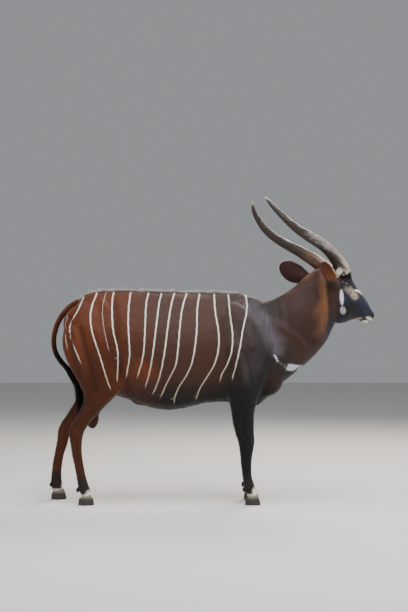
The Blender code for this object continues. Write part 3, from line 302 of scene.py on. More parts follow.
# The pale body stripes on the side view's chart, from the rump forwards: strength, half width,
# the across and down places of the line, and how far down it shows where that is not its end.
STRIPES = [
    (0.00, 1.0, [(66, 297), (60, 309), (56, 320), (55, 334), (57, 350), (60, 366)]),
    (0.50, 0.8, [(67, 318), (65.5, 323), (65, 332), (66, 342), (68, 352), (72, 366)], 350),
    (0.85, 0.9, [(84, 296), (80, 306), (76, 314), (70, 323), (69, 331), (72, 342), (76, 352), (82, 366),
                 (88, 380)], 364),
    (1.00, 1.1, [(97, 293), (92, 305), (90, 315), (91, 328), (95, 342), (100, 356), (104, 370), (108, 383),
                 (111, 390)]),
    (0.34, 0.8, [(106, 293), (103, 302), (102, 312), (104, 330), (107, 343), (110, 354), (113, 370),
                 (115, 392)], 352),
    (1.00, 1.1, [(114, 291), (112, 300), (112, 315), (113, 332), (116, 342), (118, 352), (118, 362),
                 (117, 382)]),
    (0.95, 1.0, [(131, 291), (129, 302), (128, 320), (129, 340), (130, 355), (128, 367), (126, 378)]),
    (0.95, 1.0, [(149, 291), (146, 303), (145, 330), (144, 350), (142, 362), (137, 378)]),
    (0.95, 1.0, [(162, 291), (159, 303), (157, 320), (154, 345), (152, 360), (149, 375), (145, 388)]),
    (1.00, 1.0, [(175, 291), (171, 305), (168, 325), (165, 350), (161, 372), (156, 388), (152, 395)]),
    (1.00, 1.0, [(187, 292), (182, 308), (180, 325), (178, 350), (176, 367), (168, 380), (163, 392),
                 (160, 398)]),
    (1.00, 1.1, [(200, 291), (197, 308), (197, 330), (194, 355), (190, 370), (181, 384), (175, 393),
                 (174, 403)]),
    (1.00, 1.0, [(214, 291), (215, 312), (219, 332), (219, 348), (215, 365), (205, 380), (198, 391),
                 (196, 400)]),
    (0.90, 1.0, [(228, 291), (230, 315), (233, 335), (232, 352), (226, 368), (220, 376), (220, 382)]),
    (0.90, 1.0, [(243, 290), (247, 298), (247, 312), (243, 328), (240, 348), (236, 365), (232, 380)]),
    (0.00, 1.0, [(257, 290), (261, 298), (261, 312), (257, 328), (254, 348), (250, 365), (246, 380)]),
    (0.00, 1.0, [(420, 290), (420, 420)]),
]
STRIPE_HALF = 0.0041
CHEST_MARK = [(274.8, 355.6), (277.4, 360.6), (281.6, 364.8), (288.5, 367.4), (301.0, 367.6)]

# Low relief of muscle, bone and skin on the side view's chart: height, width, then the line.
RELIEF = [
    (-0.0050, 3.2, [(250, 303), (262, 318), (269, 340), (267, 362), (258, 378)]),
    (0.0035, 3.4, [(243, 302), (248, 322), (252, 345)]),
    (-0.0045, 3.2, [(224, 320), (226, 345), (230, 366), (238, 382)]),
    (0.0045, 4.5, [(236, 345), (243, 366), (246, 384)]),
    (-0.0030, 2.2, [(243, 352), (250, 372), (254, 388)]),
    (0.0060, 4.0, [(231, 391), (235, 395)]),
    (-0.0035, 3.0, [(262, 372), (258, 390), (254, 400)]),
    (0.0060, 4.2, [(103, 303), (107, 309)]),
    (-0.0045, 4.5, [(112, 306), (116, 325), (113, 345)]),
    (0.0040, 5.0, [(96, 330), (102, 352), (110, 372)]),
    (-0.0045, 2.6, [(80, 328), (85, 350), (91, 370), (96, 392)]),
    (0.0045, 4.0, [(74, 330), (78, 352), (86, 374)]),
    (-0.0050, 2.4, [(70, 318), (69, 340), (74, 360), (81, 378)]),
    (-0.0060, 3.0, [(118, 360), (122, 376), (128, 390)]),
    (0.0040, 2.6, [(124, 372), (121, 386), (116, 393)]),
    (-0.0030, 3.2, [(150, 398), (180, 400), (215, 394)]),
    (-0.0040, 3.0, [(262, 309), (284, 318), (300, 332), (312, 344)]),
    (0.0040, 4.5, [(268, 320), (290, 330), (308, 346)]),
    (0.0035, 4.0, [(285, 296), (303, 288), (318, 284)]),
    (-0.0028, 2.4, [(281, 372), (270, 382), (264, 392)]),
    (-0.0022, 1.3, [(263, 300), (265, 316), (264, 332)]),
    (-0.0022, 1.2, [(267, 299), (269, 314), (269, 330)]),
    (-0.0020, 1.1, [(271, 299), (273, 312), (274, 326)]),
    (-0.0018, 1.1, [(276, 298), (279, 312), (281, 328)]),
    (-0.0018, 1.2, [(287, 300), (289, 318), (292, 334)]),
    (-0.0020, 1.2, [(322, 286), (323, 306), (325, 330)]),
    (0.0030, 1.4, [(79, 400), (84, 412), (77, 424)]),
    (-0.0030, 1.2, [(84, 404), (79, 416), (77, 428)]),
    (-0.0022, 0.9, [(76, 440), (78, 460), (81, 480)]),
    (-0.0022, 0.9, [(245, 446), (246, 462), (247, 480)]),
    (-0.0030, 1.2, [(243, 404), (244, 420), (244, 436)]),
    (0.0030, 1.6, [(249, 436), (250, 442)]),
]
RIBS = [(150, 24), (162, 24), (174, 23), (186, 22), (198, 20), (209, 18)]

# Grooves and ridges of the face on the same chart.
FACE_RELIEF = [
    (-0.0030, 1.3, [(352.0, 289.0), (355.0, 294.0), (356.5, 300.0), (356.0, 306.0)]),
    (0.0022, 1.5, [(356.0, 288.0), (362.0, 297.0), (366.0, 305.0)]),
    (-0.0025, 1.5, [(343.0, 291.0), (347.0, 300.0), (352.0, 308.0), (356.5, 312.5)]),
    (0.0030, 2.2, [(338.0, 300.0), (342.0, 309.0), (348.0, 314.0)]),
    (-0.0030, 1.6, [(334.0, 296.0), (334.0, 308.0), (337.0, 320.0)]),
    (-0.0016, 0.7, [(341.0, 281.0), (343.0, 287.5), (347.0, 290.5), (351.0, 290.0)]),
    (-0.0012, 0.6, [(342.0, 278.0), (346.0, 277.0), (350.5, 279.5)]),
    (-0.0018, 1.0, [(362.0, 305.0), (365.5, 309.5), (369.0, 311.5)]),
    (-0.0016, 0.8, [(356.5, 317.5), (360.0, 319.5), (364.5, 321.0)]),
    (0.0016, 1.0, [(360.0, 312.5), (365.0, 315.0), (369.0, 317.0)]),
]


def srgb(red: float, green: float, blue: float) -> np.ndarray:
    """Turn a screen colour of 0 to 255 into linear light."""
    value = np.array([red, green, blue], float) / 255.0
    return np.where(value <= 0.04045, value / 12.92, ((value + 0.055) / 1.055) ** 2.4)


class Hue(Enum):
    """The coat's named colours."""

    CHESTNUT = (80, 37, 15)
    RUFOUS = (108, 52, 21)
    SADDLE = (61, 38, 28)
    SHOULDER = (46, 39, 41)
    # Painted sheen, a grey light glancing off the coat.
    SHEEN = (98, 90, 98)
    BLACK = (16, 14, 14)
    # Painted shade for the thigh, darker than its chestnut coat.
    THIGH_SHADE = (54, 23, 8)
    BELLY = (28, 12, 5)
    NECK = (52, 33, 25)
    COLUMN = (134, 90, 62)
    THROAT = (30, 33, 44)
    MUZZLE = (32, 35, 49)
    JAW = (19, 15, 14)
    CREAM = (222, 212, 194)
    SPOT = (196, 200, 208)
    SPOT_LOW = (160, 154, 156)
    STRIPE = (214, 210, 200)
    BEIGE = (176, 160, 138)
    PAD = (13, 13, 16)
    LEG = (56, 26, 11)
    PASTERN = (30, 25, 25)
    EAR_BACK = (122, 70, 40)
    # Darker ear brown for the ear's end, and all over the far ear as painted shade.
    EAR_DARK = (64, 38, 33)
    EAR_INNER = (150, 120, 106)
    HORN = (112, 76, 54)
    HORN_DARK = (40, 25, 18)
    # Painted light on the horns' upper and outer faces.
    HORN_LIT_GREY = (134, 124, 121)
    HORN_PALE = (196, 176, 148)
    HOOF = (48, 41, 37)

    @property
    def light(self) -> np.ndarray:
        """The colour in linear light."""
        return srgb(*self.value)


def smooth(low: float, high: float, value: np.ndarray) -> np.ndarray:
    """A soft step from 0 at low to 1 at high."""
    share = np.clip((value - low) / (high - low), 0.0, 1.0)
    return share * share * (3 - 2 * share)


def blob(place: np.ndarray, middle: tuple, radii: tuple, lean: float = 0.0,
         soft: float = 0.35) -> np.ndarray:
    """A soft oval mask on a chart.

    Args:
        place: Rows of across and down.
        middle: The oval's middle.
        radii: Its half sizes.
        lean: Its turn in degrees.
        soft: The share of the radius over which it fades.

    Returns:
        One value from 0 to 1 for each row.
    """
    turn = math.radians(lean)
    x = place[:, 0] - middle[0]
    y = place[:, 1] - middle[1]
    across = (x * math.cos(turn) + y * math.sin(turn)) / radii[0]
    down = (-x * math.sin(turn) + y * math.cos(turn)) / radii[1]
    return 1 - smooth(1 - soft, 1 + soft, np.hypot(across, down))


def line_distance(place: np.ndarray, line: list) -> np.ndarray:
    """How far each place is from a bent line, in two or three dimensions."""
    best = np.full(len(place), 1e9)
    for first, second in zip(line[:-1], line[1:]):
        start = np.array(first, float)
        way = np.array(second, float) - start
        share = np.clip(((place - start) @ way) / max(way @ way, 1e-12), 0, 1)
        gap = place - start - share[:, None] * way
        best = np.minimum(best, np.sqrt((gap * gap).sum(1)))
    return best


def rough(points: np.ndarray, size: float, seed: float = 0.0) -> np.ndarray:
    """A smooth wavy field from -1 to 1, whose waves are about the given size long."""
    k = 2 * math.pi / size
    x, y, z = points[:, 0] * k, points[:, 1] * k, points[:, 2] * k
    one = np.sin(x + 1.7 * np.sin(0.73 * y + seed) + seed)
    two = np.sin(1.13 * y + 1.9 * np.sin(0.81 * z + 2 * seed) + 0.5)
    three = np.sin(0.97 * z + 1.6 * np.sin(0.69 * x + 3 * seed) + 1.1)
    return (one + two + three) / 3


def project(points: np.ndarray) -> np.ndarray:
    """Places on the side view's chart of points in the tables' frame."""
    reach = PHOTO_FOCAL / (points[:, 1] - PHOTO_PLACE.y)
    across = PHOTO_MIDDLE[0] + (points[:, 0] - PHOTO_PLACE.x) * reach
    down = PHOTO_MIDDLE[1] - (points[:, 2] - PHOTO_PLACE.z) * reach
    return np.stack([across, down], 1)


def head_local(points: np.ndarray) -> np.ndarray:
    """Points in the head's own frame: forward, side, height."""
    back = np.array(HEAD_FRAME.inverted())
    return points @ back[:3, :3].T + back[:3, 3]


def head_world(points: np.ndarray) -> np.ndarray:
    """Points of the head's own frame in the tables' frame."""
    turn = np.array(HEAD_FRAME)
    return points @ turn[:3, :3].T + turn[:3, 3]


def headness(points: np.ndarray) -> np.ndarray:
    """How far each point belongs to the head, from 0 on the neck to 1."""
    top = np.array([HEAD_CUT_TOP[0], HEAD_CUT_TOP[1]])
    bottom = np.array([HEAD_CUT_BOTTOM[0], HEAD_CUT_BOTTOM[1]])
    way = (bottom - top) / np.linalg.norm(bottom - top)
    ahead = np.array([-way[1], way[0]])
    gap = (points[:, 0] - top[0]) * ahead[0] + (points[:, 2] - top[1]) * ahead[1]
    return smooth(-0.03, 0.05, gap) * smooth(0.85, 0.95, points[:, 2])


def chart(points: np.ndarray) -> np.ndarray:
    """Places on the side view's chart, with the left side folded onto the right."""
    body = points.copy()
    body[:, 1] = -np.abs(body[:, 1])
    local = head_local(points)
    local[:, 1] = -np.abs(local[:, 1])
    share = headness(points)[:, None]
    return project(body) * (1 - share) + project(head_world(local)) * share


def bend(rows: np.ndarray) -> tuple:
    """A stripe's points joined by one smooth bend: places down, then across."""
    steps = np.linspace(rows[0, 1], rows[-1, 1], 60)
    across = np.interp(steps, rows[:, 1], rows[:, 0])
    soft = np.convolve(np.pad(across, 4, "reflect", reflect_type="odd"), np.ones(9) / 9, "valid")
    return steps, soft


def stripe_marks(points: np.ndarray, ways: np.ndarray) -> np.ndarray:
    """The stripes' own measure at each point: count of lines passed, spacing in metres, strength.

    Args:
        points: Places on the skin.
        ways: The skin's normals there, as the stripes fade where it faces back.

    Returns:
        Three numbers for each point.
    """
    place = chart(points)
    far = smooth(-0.01, 0.03, points[:, 1])
    across = place[:, 0] + far * 3.0 * np.sin(place[:, 1] * 0.045 + place[:, 0] * 0.02)
    across += 0.12 * np.sin(place[:, 1] * 0.7 + place[:, 0] * 0.5)
    down = place[:, 1]
    lines = []
    power = []
    for strength, half, line, *end in STRIPES:
        rows = np.array(line, float)
        lines.append(np.interp(down, *bend(rows)))
        last = end[0] if end else rows[-1, 1]
        fade = 1 - smooth(last - 6, last + 3, down)
        first = smooth(rows[0, 1] - 6, rows[0, 1] - 2, down)
        power.append(strength * half * fade * first)
    lines = np.array(lines)
    power = np.array(power)
    at = np.clip((lines <= across).sum(0) - 1, 0, len(STRIPES) - 2)
    row = np.arange(len(points))
    low = lines[at, row]
    high = lines[at + 1, row]
    share = np.clip((across - low) / np.maximum(high - low, 1e-6), 0, 1)
    strength = power[at, row] * (1 - share) + power[at + 1, row] * share
    keep = (1 - headness(points)) * smooth(0.56, 0.60, points[:, 2])
    keep *= smooth(-0.92, -0.66, ways[:, 0]) * smooth(-0.92, -0.75, ways[:, 2])
    return np.stack([at + share, (high - low) * CHART_STEP, strength * keep], 1)


def stripe_mask(marks: np.ndarray) -> np.ndarray:
    """How pale the stripes make each point, by the same rule as the skin's material."""
    gap = np.abs(marks[:, 0] - np.round(marks[:, 0])) * marks[:, 1]
    half = STRIPE_HALF * np.minimum(marks[:, 2], 1.0) ** 0.5
    return (1 - smooth(0.65, 1.25, gap / np.maximum(half, 1e-5))) * np.clip(marks[:, 2] * 1.2, 0, 1)


@dataclass(frozen=True, kw_only=True)
class Layer:
    """A layer of colour on the side view's chart.

    Args:
        strength: How much it covers.
        vary: How much more it covers where the drift is high.
        gain: How much more it covers past the across places of within.
        within: The across places between which the gain sets in.
    """

    strength: float = 1.0
    vary: float = 0.0
    gain: float = 0.0
    within: tuple = (0, 1)

    def mask(self, place: np.ndarray, drift: np.ndarray) -> np.ndarray:
        """How much the layer covers at each place."""
        cover = self.strength + self.vary * drift + self.gain * smooth(*self.within, place[:, 0])
        return self.form(place, drift) * cover


@dataclass(frozen=True)
class Patch(Layer):
    """A soft oval: middle, half sizes, turn in degrees, and the share of the size over which it fades."""

    hue: Hue
    middle: tuple
    radii: tuple
    lean: float = 0.0
    soft: float = 0.35

    def form(self, place: np.ndarray, drift: np.ndarray) -> np.ndarray:
        """The oval alone."""
        return blob(place, self.middle, self.radii, self.lean, self.soft)


@dataclass(frozen=True)
class Band(Layer):
    """A soft edge: where it starts and ends, the way across it, and how far the drift moves it."""

    hue: Hue
    ends: tuple
    way: tuple = (1.0, 0.0)
    wander: float = 0.0

    def form(self, place: np.ndarray, drift: np.ndarray) -> np.ndarray:
        """The edge alone."""
        return smooth(*self.ends, place @ np.array(self.way) + self.wander * drift)


@dataclass(frozen=True)
class Stroke(Layer):
    """A soft line: its places, the distances between which it fades, and how far the drift moves it."""

    hue: Hue
    line: tuple
    ends: tuple
    wander: float = 0.0

    def form(self, place: np.ndarray, drift: np.ndarray) -> np.ndarray:
        """The line alone."""
        return 1 - smooth(*self.ends, line_distance(place, self.line) + self.wander * drift)


@dataclass
class Paint:
    """A colour, or any three numbers, for each point, laid on in layers."""

    colour: np.ndarray

    def lay(self, hue: np.ndarray, mask: np.ndarray) -> None:
        """Lay one colour over the others where the mask is high."""
        mask = np.clip(mask, 0, 1)[:, None]
        self.colour = self.colour * (1 - mask) + hue * mask

    def layers(self, rows: list, place: np.ndarray, drift: np.ndarray) -> None:
        """Lay a table of layers in its order."""
        for row in rows:
            self.lay(row.hue.light, row.mask(place, drift))


THROAT_COLUMN = Patch(Hue.COLUMN, (324.6, 313), (3.6, 32), -4, 0.7, strength=0.80)

# The body's colours, from the flank's ground to the brisket, with painted shade on the thigh, a painted sheen
# on the shoulder and painted rim light along the neck's top.
BODY_LAYERS = [
    Band(Hue.CHESTNUT, (165, 100), wander=12),
    Band(Hue.RUFOUS, (80, 58), wander=4, strength=0.55),
    # Painted shade: a darker patch over the thigh's chestnut coat.
    Patch(Hue.THIGH_SHADE, (97, 384), (20, 44), 8, 0.7, strength=0.75),
    Band(Hue.SHOULDER, (205, 262), wander=10, strength=0.85),
    Band(Hue.BELLY, (382, 402), (0, 1), 3, strength=0, gain=0.9, within=(112, 126)),
    Patch(Hue.RUFOUS, (144, 370), (13, 9), 20, 0.8, strength=0.55),
    Band(Hue.BLACK, (358, 390), (-0.05, 1), 3, strength=0, gain=1.0, within=(196, 232)),
    Patch(Hue.BLACK, (262, 376), (26, 26), 0, 0.8, strength=0.75),
    Patch(Hue.BLACK, (185, 411), (56, 7), 0, 0.8, strength=0.7),
    Band(Hue.NECK, (186, 212), (1, -0.25), 4, strength=0.9),
    Patch(Hue.SHOULDER, (268, 303), (16, 6), 0, 0.8, strength=0.4),
    # Painted sheen: a lighter grey stroke down the shoulder's front edge and a mottled patch below it.
    Stroke(Hue.SHEEN, ((250, 306), (262, 318), (270, 336), (276, 350)), (3.0, 10.0), 3, strength=0.52),
    Patch(Hue.SHEEN, (253, 371), (8, 12), 10, 0.9, strength=0.22, vary=0.3),
    THROAT_COLUMN,
    # Painted rim light: an orange line along the neck's top edge.
    Stroke(Hue.COLUMN, ((283, 293), (298, 281), (313, 271), (322, 266)), (0.4, 3.4), strength=0.5),
    Patch(Hue.THROAT, (331.5, 322), (4.6, 32), 14, 0.6, strength=0.9),
    Patch(Hue.BLACK, (300, 372), (16, 7), -30, 0.8, strength=0.6),
]

# The head's colours below the white chevron, with painted shade over each ear's foot.
FACE_LAYERS = [
    THROAT_COLUMN,
    Band(Hue.MUZZLE, (493.8, 509.8), (1, 0.55), strength=0.94),
    Patch(Hue.COLUMN, (339, 272), (6, 7), 0, 0.7, strength=0.5),
    Patch(Hue.JAW, (347, 312), (13, 8.5), -12, 0.6, strength=0.85),
    Patch(Hue.SADDLE, (333.5, 304), (4.2, 17), 0, 0.6, strength=0.80),
    Patch(Hue.JAW, (347.5, 276.0), (7.5, 7.0), 20, 0.5, strength=0.88),
    Patch(Hue.THROAT, (348.0, 284.4), (6.0, 4.6), 10, 0.5, strength=0.92),
    Stroke(Hue.BEIGE, ((347.6, 288.6), (351.2, 291.8), (355.0, 296.4)), (1.2, 5.2), 0.9,
           strength=0.34, gain=0.42, within=(347, 354)),
    Patch(Hue.THROAT, (351.0, 292.5), (0.8, 1.2), 52, 0.5, strength=0.8),
    Patch(Hue.THROAT, (354.0, 296.6), (0.8, 1.1), 52, 0.5, strength=0.7),
    Patch(Hue.THROAT, (354.6, 292.9), (0.6, 0.9), 30, 0.5, strength=0.6),
    # Painted shade over the foot of each ear.
    Patch(Hue.JAW, (333.5, 287.0), (5.0, 5.0), 0, 0.6, strength=0.25),
]
CHEVRON = [(356.0, 290.4), (358.6, 290.9), (362.0, 293.0)]

# The cheek's two white marks, the lips and the nose pad.
LIP_LAYERS = [
    Patch(Hue.SPOT, (341.7, 297.4), (1.9, 7.5), -3, 0.25),
    Patch(Hue.SPOT_LOW, (342.9, 310.4), (2.8, 3.9), -10, 0.3, strength=0.85, vary=0.15),
    Patch(Hue.CREAM, (369.6, 318.6), (3.7, 1.7), 26, 0.4, strength=0.88, vary=0.2),
    Patch(Hue.CREAM, (364.2, 322.2), (4.4, 1.7), -12, 0.4, strength=0.88, vary=0.2),
    Patch(Hue.BEIGE, (358.6, 318.6), (3.6, 1.0), -6, 0.6, strength=0.55),
    Patch(Hue.PAD, (373.3, 314.4), (2.6, 4.3), -8, 0.25),
]


def relief(place: np.ndarray, rows: list) -> np.ndarray:
    """The height of a table's ridges and grooves at each place."""
    total = np.zeros(len(place))
    for height, width, line in rows:
        total += height * np.exp(-(line_distance(place, line) / width) ** 2)
    return total


def leg_tone(paint: Paint, points: np.ndarray, place: np.ndarray, drift: np.ndarray) -> None:
    """Lay the legs' colours: darker in front and below, pale pasterns, dark at the hooves."""
    low = points[:, 2]
    hind = points[:, 0] < -0.3
    paint.lay(Hue.LEG.light, (1 - smooth(0.50, 0.66, low)) * hind * 0.75)
    paint.lay(Hue.BLACK.light, (1 - smooth(0.54, 0.80, low + 0.02 * drift)) * ~hind * 0.96)
    front = smooth(0.0, 0.03, points[:, 0] - np.where(hind, -0.73, 0.215))
    paint.lay(Hue.BLACK.light, (1 - smooth(0.30, 0.46, low)) * hind * 0.45 * front)
    paint.lay(Hue.PASTERN.light, (1 - smooth(0.135, 0.20, low)) * 0.9)
    for middle, radii, lean, where in (
        ((91, 497), (5.0, 6.5), -20, hind * (points[:, 1] < 0)),
        ((61, 493), (3.4, 5.5), -10, hind),
        ((256, 493), (3.4, 5.5), -10, ~hind),
    ):
        paint.lay(Hue.CREAM.light, blob(place, middle, radii, lean, 0.4) * where)
    paint.lay(Hue.CREAM.light, (1 - smooth(0.058, 0.068, low + 0.004 * drift)) * 0.75)
    paint.lay(Hue.HOOF.light, 1 - smooth(0.040, 0.052, low))


def face_tone(ground: np.ndarray, points: np.ndarray, place: np.ndarray) -> np.ndarray:
    """Lay the head's colours over the body's and melt the two at the neck."""
    head = headness(points)
    paint = Paint(ground)
    fine = rough(points, 0.011, 0.4) * 0.6 + rough(points, 0.023, 1.9) * 0.4
    paint.lay(Hue.NECK.light, head)
    paint.layers(FACE_LAYERS, place, fine)
    dip = np.maximum(0.045 - np.abs(head_local(points)[:, 1]), 0)[:, None] * (0.0, -24.0)
    chevron = line_distance(place + dip, CHEVRON)
    paint.lay(Hue.CREAM.light, 1 - smooth(0.8, 1.5, chevron + 0.25 * fine))
    paint.layers(LIP_LAYERS, place, fine)
    share = head[:, None]
    return ground * (1 - share) + paint.colour * share


def base_tone(points: np.ndarray) -> np.ndarray:
    """The coat's colour at each point, without the stripes, with painted shade and painted light over the
    relief.
    """
    place = chart(points)
    across = place[:, 0]
    drift = rough(points, 0.16, 0.7) * 0.5 + rough(points, 0.05, 2.1) * 0.3
    paint = Paint(np.tile(Hue.SADDLE.light, (len(points), 1)))
    paint.layers(BODY_LAYERS, place, drift)
    # Painted shade along the relief's grooves and painted light along its ridges.
    depth = relief(place, [(np.sign(height), width * 1.15, line) for height, width, line in RELIEF])
    paint.colour *= (1 + 0.26 * np.clip(depth, -1.5, 1.5) * (1 - headness(points)))[:, None]
    paint.lay(Hue.NECK.light, blob(place, (275, 385), (9, 13), 0, 0.8) * 0.7)
    broad = 0.9 + 2.3 * smooth(278, 287, across) - 0.8 * smooth(291, 300, across)
    torn = rough(points, 0.019, 0.9) * 0.5 + drift * 0.4
    chest = line_distance(place, CHEST_MARK) + torn
    paint.lay(Hue.SPOT.light, (1 - smooth(broad * 0.75, broad * 1.25, chest)) * 0.82)
    leg_tone(paint, points, place, drift)
    return np.clip(face_tone(paint.colour, points, place), 0, 1)


def tone(points: np.ndarray, ways: np.ndarray) -> np.ndarray:
    """The coat's colour at each point with the stripes, as the tufts wear it."""
    marks = stripe_marks(points, ways)
    mask = stripe_mask(marks)[:, None]
    place = chart(points)
    pale = Hue.STRIPE.light + (Hue.BEIGE.light - Hue.STRIPE.light) * smooth(345, 385, place[:, 1])[:, None]
    return base_tone(points) * (1 - mask) + pale * mask


def through(rows: list, steps: int) -> list:
    """Carry rows of numbers along a smooth curve, with the given steps between two rows."""
    table = np.array(rows, float)
    last = len(table) - 1
    carried = []
    for i in range(last):
        a, b, c, d = (table[min(max(i + k, 0), last)] for k in (-1, 0, 1, 2))
        for k in range(steps):
            t = k / steps
            row = 2 * b + (c - a) * t + (2 * a - 5 * b + 4 * c - d) * t ** 2
            row += (3 * b - a - 3 * c + d) * t ** 3
            carried.append(tuple(0.5 * row))
    carried.append(tuple(table[last]))
    return carried


def egg(top: Vector, bottom: Vector, half: float, above: float, below: float, side: Vector,
        count: int = 40) -> list:
    """One egg-shaped outline between a top and a bottom point."""
    middle = (top + bottom) / 2
    up = (top - bottom) / 2
    ring = []
    for i in range(count):
        angle = 2 * math.pi * i / count
        rise = math.cos(angle)
        width = half * math.sin(angle) * (1 - above * max(rise, 0) ** 2 - below * max(-rise, 0) ** 2)
        ring.append(middle + up * rise + side * width)
    return ring


def axes(along: Vector, across: Vector) -> Matrix:
    """A turning matrix whose first column is along and whose second is close to across."""
    first = along.normalized()
    third = first.cross(across).normalized()
    return Matrix((first, third.cross(first), third)).transposed()


def linked(name: str, data: bpy.types.ID) -> bpy.types.Object:
    """An object of some data, put in the scene."""
    made = bpy.data.objects.new(name, data)
    bpy.context.scene.collection.objects.link(made)
    return made


class Builder:
    """Collects closed shells in one mesh."""

    def __init__(self) -> None:
        """Start with nothing."""
        self.points: list = []
        self.faces: list = []

    def rings(self, rings: list, ends: tuple = (0.3, 0.3)) -> None:
        """Add a closed shell through rings, with a pole raised by its share of the size at each end."""
        start = len(self.points)
        count = len(rings[0])
        for ring in rings:
            self.points.extend(tuple(p) for p in ring)
        for r in range(len(rings) - 1):
            for i in range(count):
                j = (i + 1) % count
                a, b = start + r * count, start + (r + 1) * count
                self.faces.append((a + i, a + j, b + j, b + i))
        last = len(rings) - 1
        for end, near, lift in ((0, 1, ends[0]), (last, last - 1, ends[1])):
            middle = sum((Vector(p) for p in rings[end]), Vector()) / count
            way = (middle - sum((Vector(p) for p in rings[near]), Vector()) / count).normalized()
            size = sum((Vector(p) - middle).length for p in rings[end]) / count
            pole = len(self.points)
            self.points.append(tuple(middle + way * size * lift))
            for i in range(count):
                a, b = start + end * count + i, start + end * count + (i + 1) % count
                self.faces.append((pole, b, a) if end == 0 else (pole, a, b))

    def tube(self, rows: list, sides: int = 16, ends: tuple = (0.2, 0.4)) -> None:
        """Add a round tube along rows of x, y, z, radius."""
        angles = [2 * math.pi * k / sides for k in range(sides)]
        wheel = [Vector((0, math.cos(angle), math.sin(angle))) for angle in angles]
        rings = []
        for i, row in enumerate(rows):
            ahead = Vector(rows[min(i + 1, len(rows) - 1)][:3]) - Vector(rows[max(i - 1, 0)][:3])
            turn = axes(ahead, Vector((0, 1, 0)))
            rings.append([Vector(row[:3]) + turn @ spoke * row[3] for spoke in wheel])
        self.rings(rings, ends)

    def ball(self, centre: Vector, radii: tuple, turn: Matrix | None = None) -> None:
        """Add a closed ellipsoid."""
        work = bmesh.new()
        bmesh.ops.create_icosphere(work, subdivisions=4, radius=1.0)
        place = (turn or Matrix.Identity(3)) @ Matrix.Diagonal(Vector(radii))
        start = len(self.points)
        self.points.extend(tuple(place @ v.co + centre) for v in work.verts)
        self.faces.extend(tuple(start + v.index for v in f.verts) for f in work.faces)
        work.free()

    def item(self, name: str) -> bpy.types.Object:
        """Make the object, with its faces turned outwards."""
        data = bpy.data.meshes.new(name)
        data.from_pydata(self.points, [], self.faces)
        work = bmesh.new()
        work.from_mesh(data)
        bmesh.ops.recalc_face_normals(work, faces=work.faces)
        work.to_mesh(data)
        work.free()
        return linked(name, data)


def head_point(forward: float, side: float, height: float) -> Vector:
    """Turn a place in the head's own frame into the tables' frame."""
    return HEAD_FRAME @ Vector((forward, side, height))


def head_way(forward: float, side: float, height: float) -> Vector:
    """Turn a direction in the head's own frame into the tables' frame."""
    return (HEAD_FRAME.to_3x3() @ Vector((forward, side, height))).normalized()


def eye_way(sign: int) -> Vector:
    """The way an eye looks."""
    return head_way(0.30, sign * 0.93, 0.12)


def eye_place(sign: int) -> Vector:
    """The middle of an eyeball."""
    forward, side, height = EYE_CENTRE
    return head_point(forward, sign * side, height)


def eye_turn(sign: int) -> Matrix:
    """Axes of an eye: its look, then the line from corner to corner."""
    return axes(eye_way(sign), head_way(0.985, 0.0, -0.17))


def horn_rows(sign: int, steps: int) -> list:
    """Places and radii along a horn."""
    rows = []
    for forward, height, out, radius in through(HORN, steps):
        rows.append((*head_point(forward, sign * out, height), radius))
    return rows


def ear_frame(which: str) -> tuple:
    """Start, length way, opening way and width way of an ear."""
    start = head_point(*EAR_BASE[which])
    along = EAR_WAY[which].normalized()
    front = EAR_FRONT[which]
    opening = (front - along * front.dot(along)).normalized()
    return start, along, opening, along.cross(opening).normalized()


def coordinates(data: bpy.types.Mesh) -> np.ndarray:
    """All vertex places of a mesh."""
    held = np.empty(len(data.vertices) * 3, np.float32)
    data.vertices.foreach_get("co", held)
    return held.reshape(-1, 3).astype(float)


def normals(data: bpy.types.Mesh) -> np.ndarray:
    """All vertex normals of a mesh."""
    held = np.empty(len(data.vertices) * 3, np.float32)
    data.vertices.foreach_get("normal", held)
    return held.reshape(-1, 3).astype(float)


def place_all(data: bpy.types.Mesh, points: np.ndarray) -> None:
    """Write all vertex places of a mesh."""
    data.vertices.foreach_set("co", points.astype(np.float32).ravel())
    data.update()


def colour_attribute(data: bpy.types.Mesh, name: str, colours: np.ndarray) -> None:
    """Store a colour for each vertex."""
    held = data.color_attributes.new(name, "FLOAT_COLOR", "POINT")
    rows = np.concatenate([colours, np.ones((len(colours), 1))], 1)
    held.data.foreach_set("color", rows.astype(np.float32).ravel())


def vector_attribute(data: bpy.types.Mesh, name: str, rows: np.ndarray) -> None:
    """Store three numbers for each vertex."""
    held = data.attributes.new(name, "FLOAT_VECTOR", "POINT")
    held.data.foreach_set("vector", rows.astype(np.float32).ravel())


def plain_marks(data: bpy.types.Mesh, part: np.ndarray | None = None) -> None:
    """Leave a piece without stripes, and without wet parts unless their rows are given."""
    none = np.zeros((len(data.vertices), 3))
    vector_attribute(data, "Mark", none)
    vector_attribute(data, "Part", none if part is None else part)


def tree_of(data: bpy.types.Mesh) -> BVHTree:
    """A search tree of a mesh's faces."""
    return BVHTree.FromPolygons([v.co for v in data.vertices], [tuple(p.vertices) for p in data.polygons])


def apply_all(item: bpy.types.Object) -> None:
    """Apply every modifier of an object."""
    bpy.context.view_layer.update()
    held = bpy.context.evaluated_depsgraph_get()
    data = bpy.data.meshes.new_from_object(item.evaluated_get(held))
    item.modifiers.clear()
    old = item.data
    item.data = data
    bpy.data.meshes.remove(old)


def weigh(item: bpy.types.Object, step: bpy.types.Modifier, weights: np.ndarray) -> None:
    """Let a modifier act by a weight from 0 to 1 for each vertex."""
    group = item.vertex_groups.new(name="weight")
    levels = np.round(weights * 20).astype(int)
    for level in range(1, 21):
        group.add(np.nonzero(levels == level)[0].tolist(), level / 20, "REPLACE")
    step.vertex_group = group.name


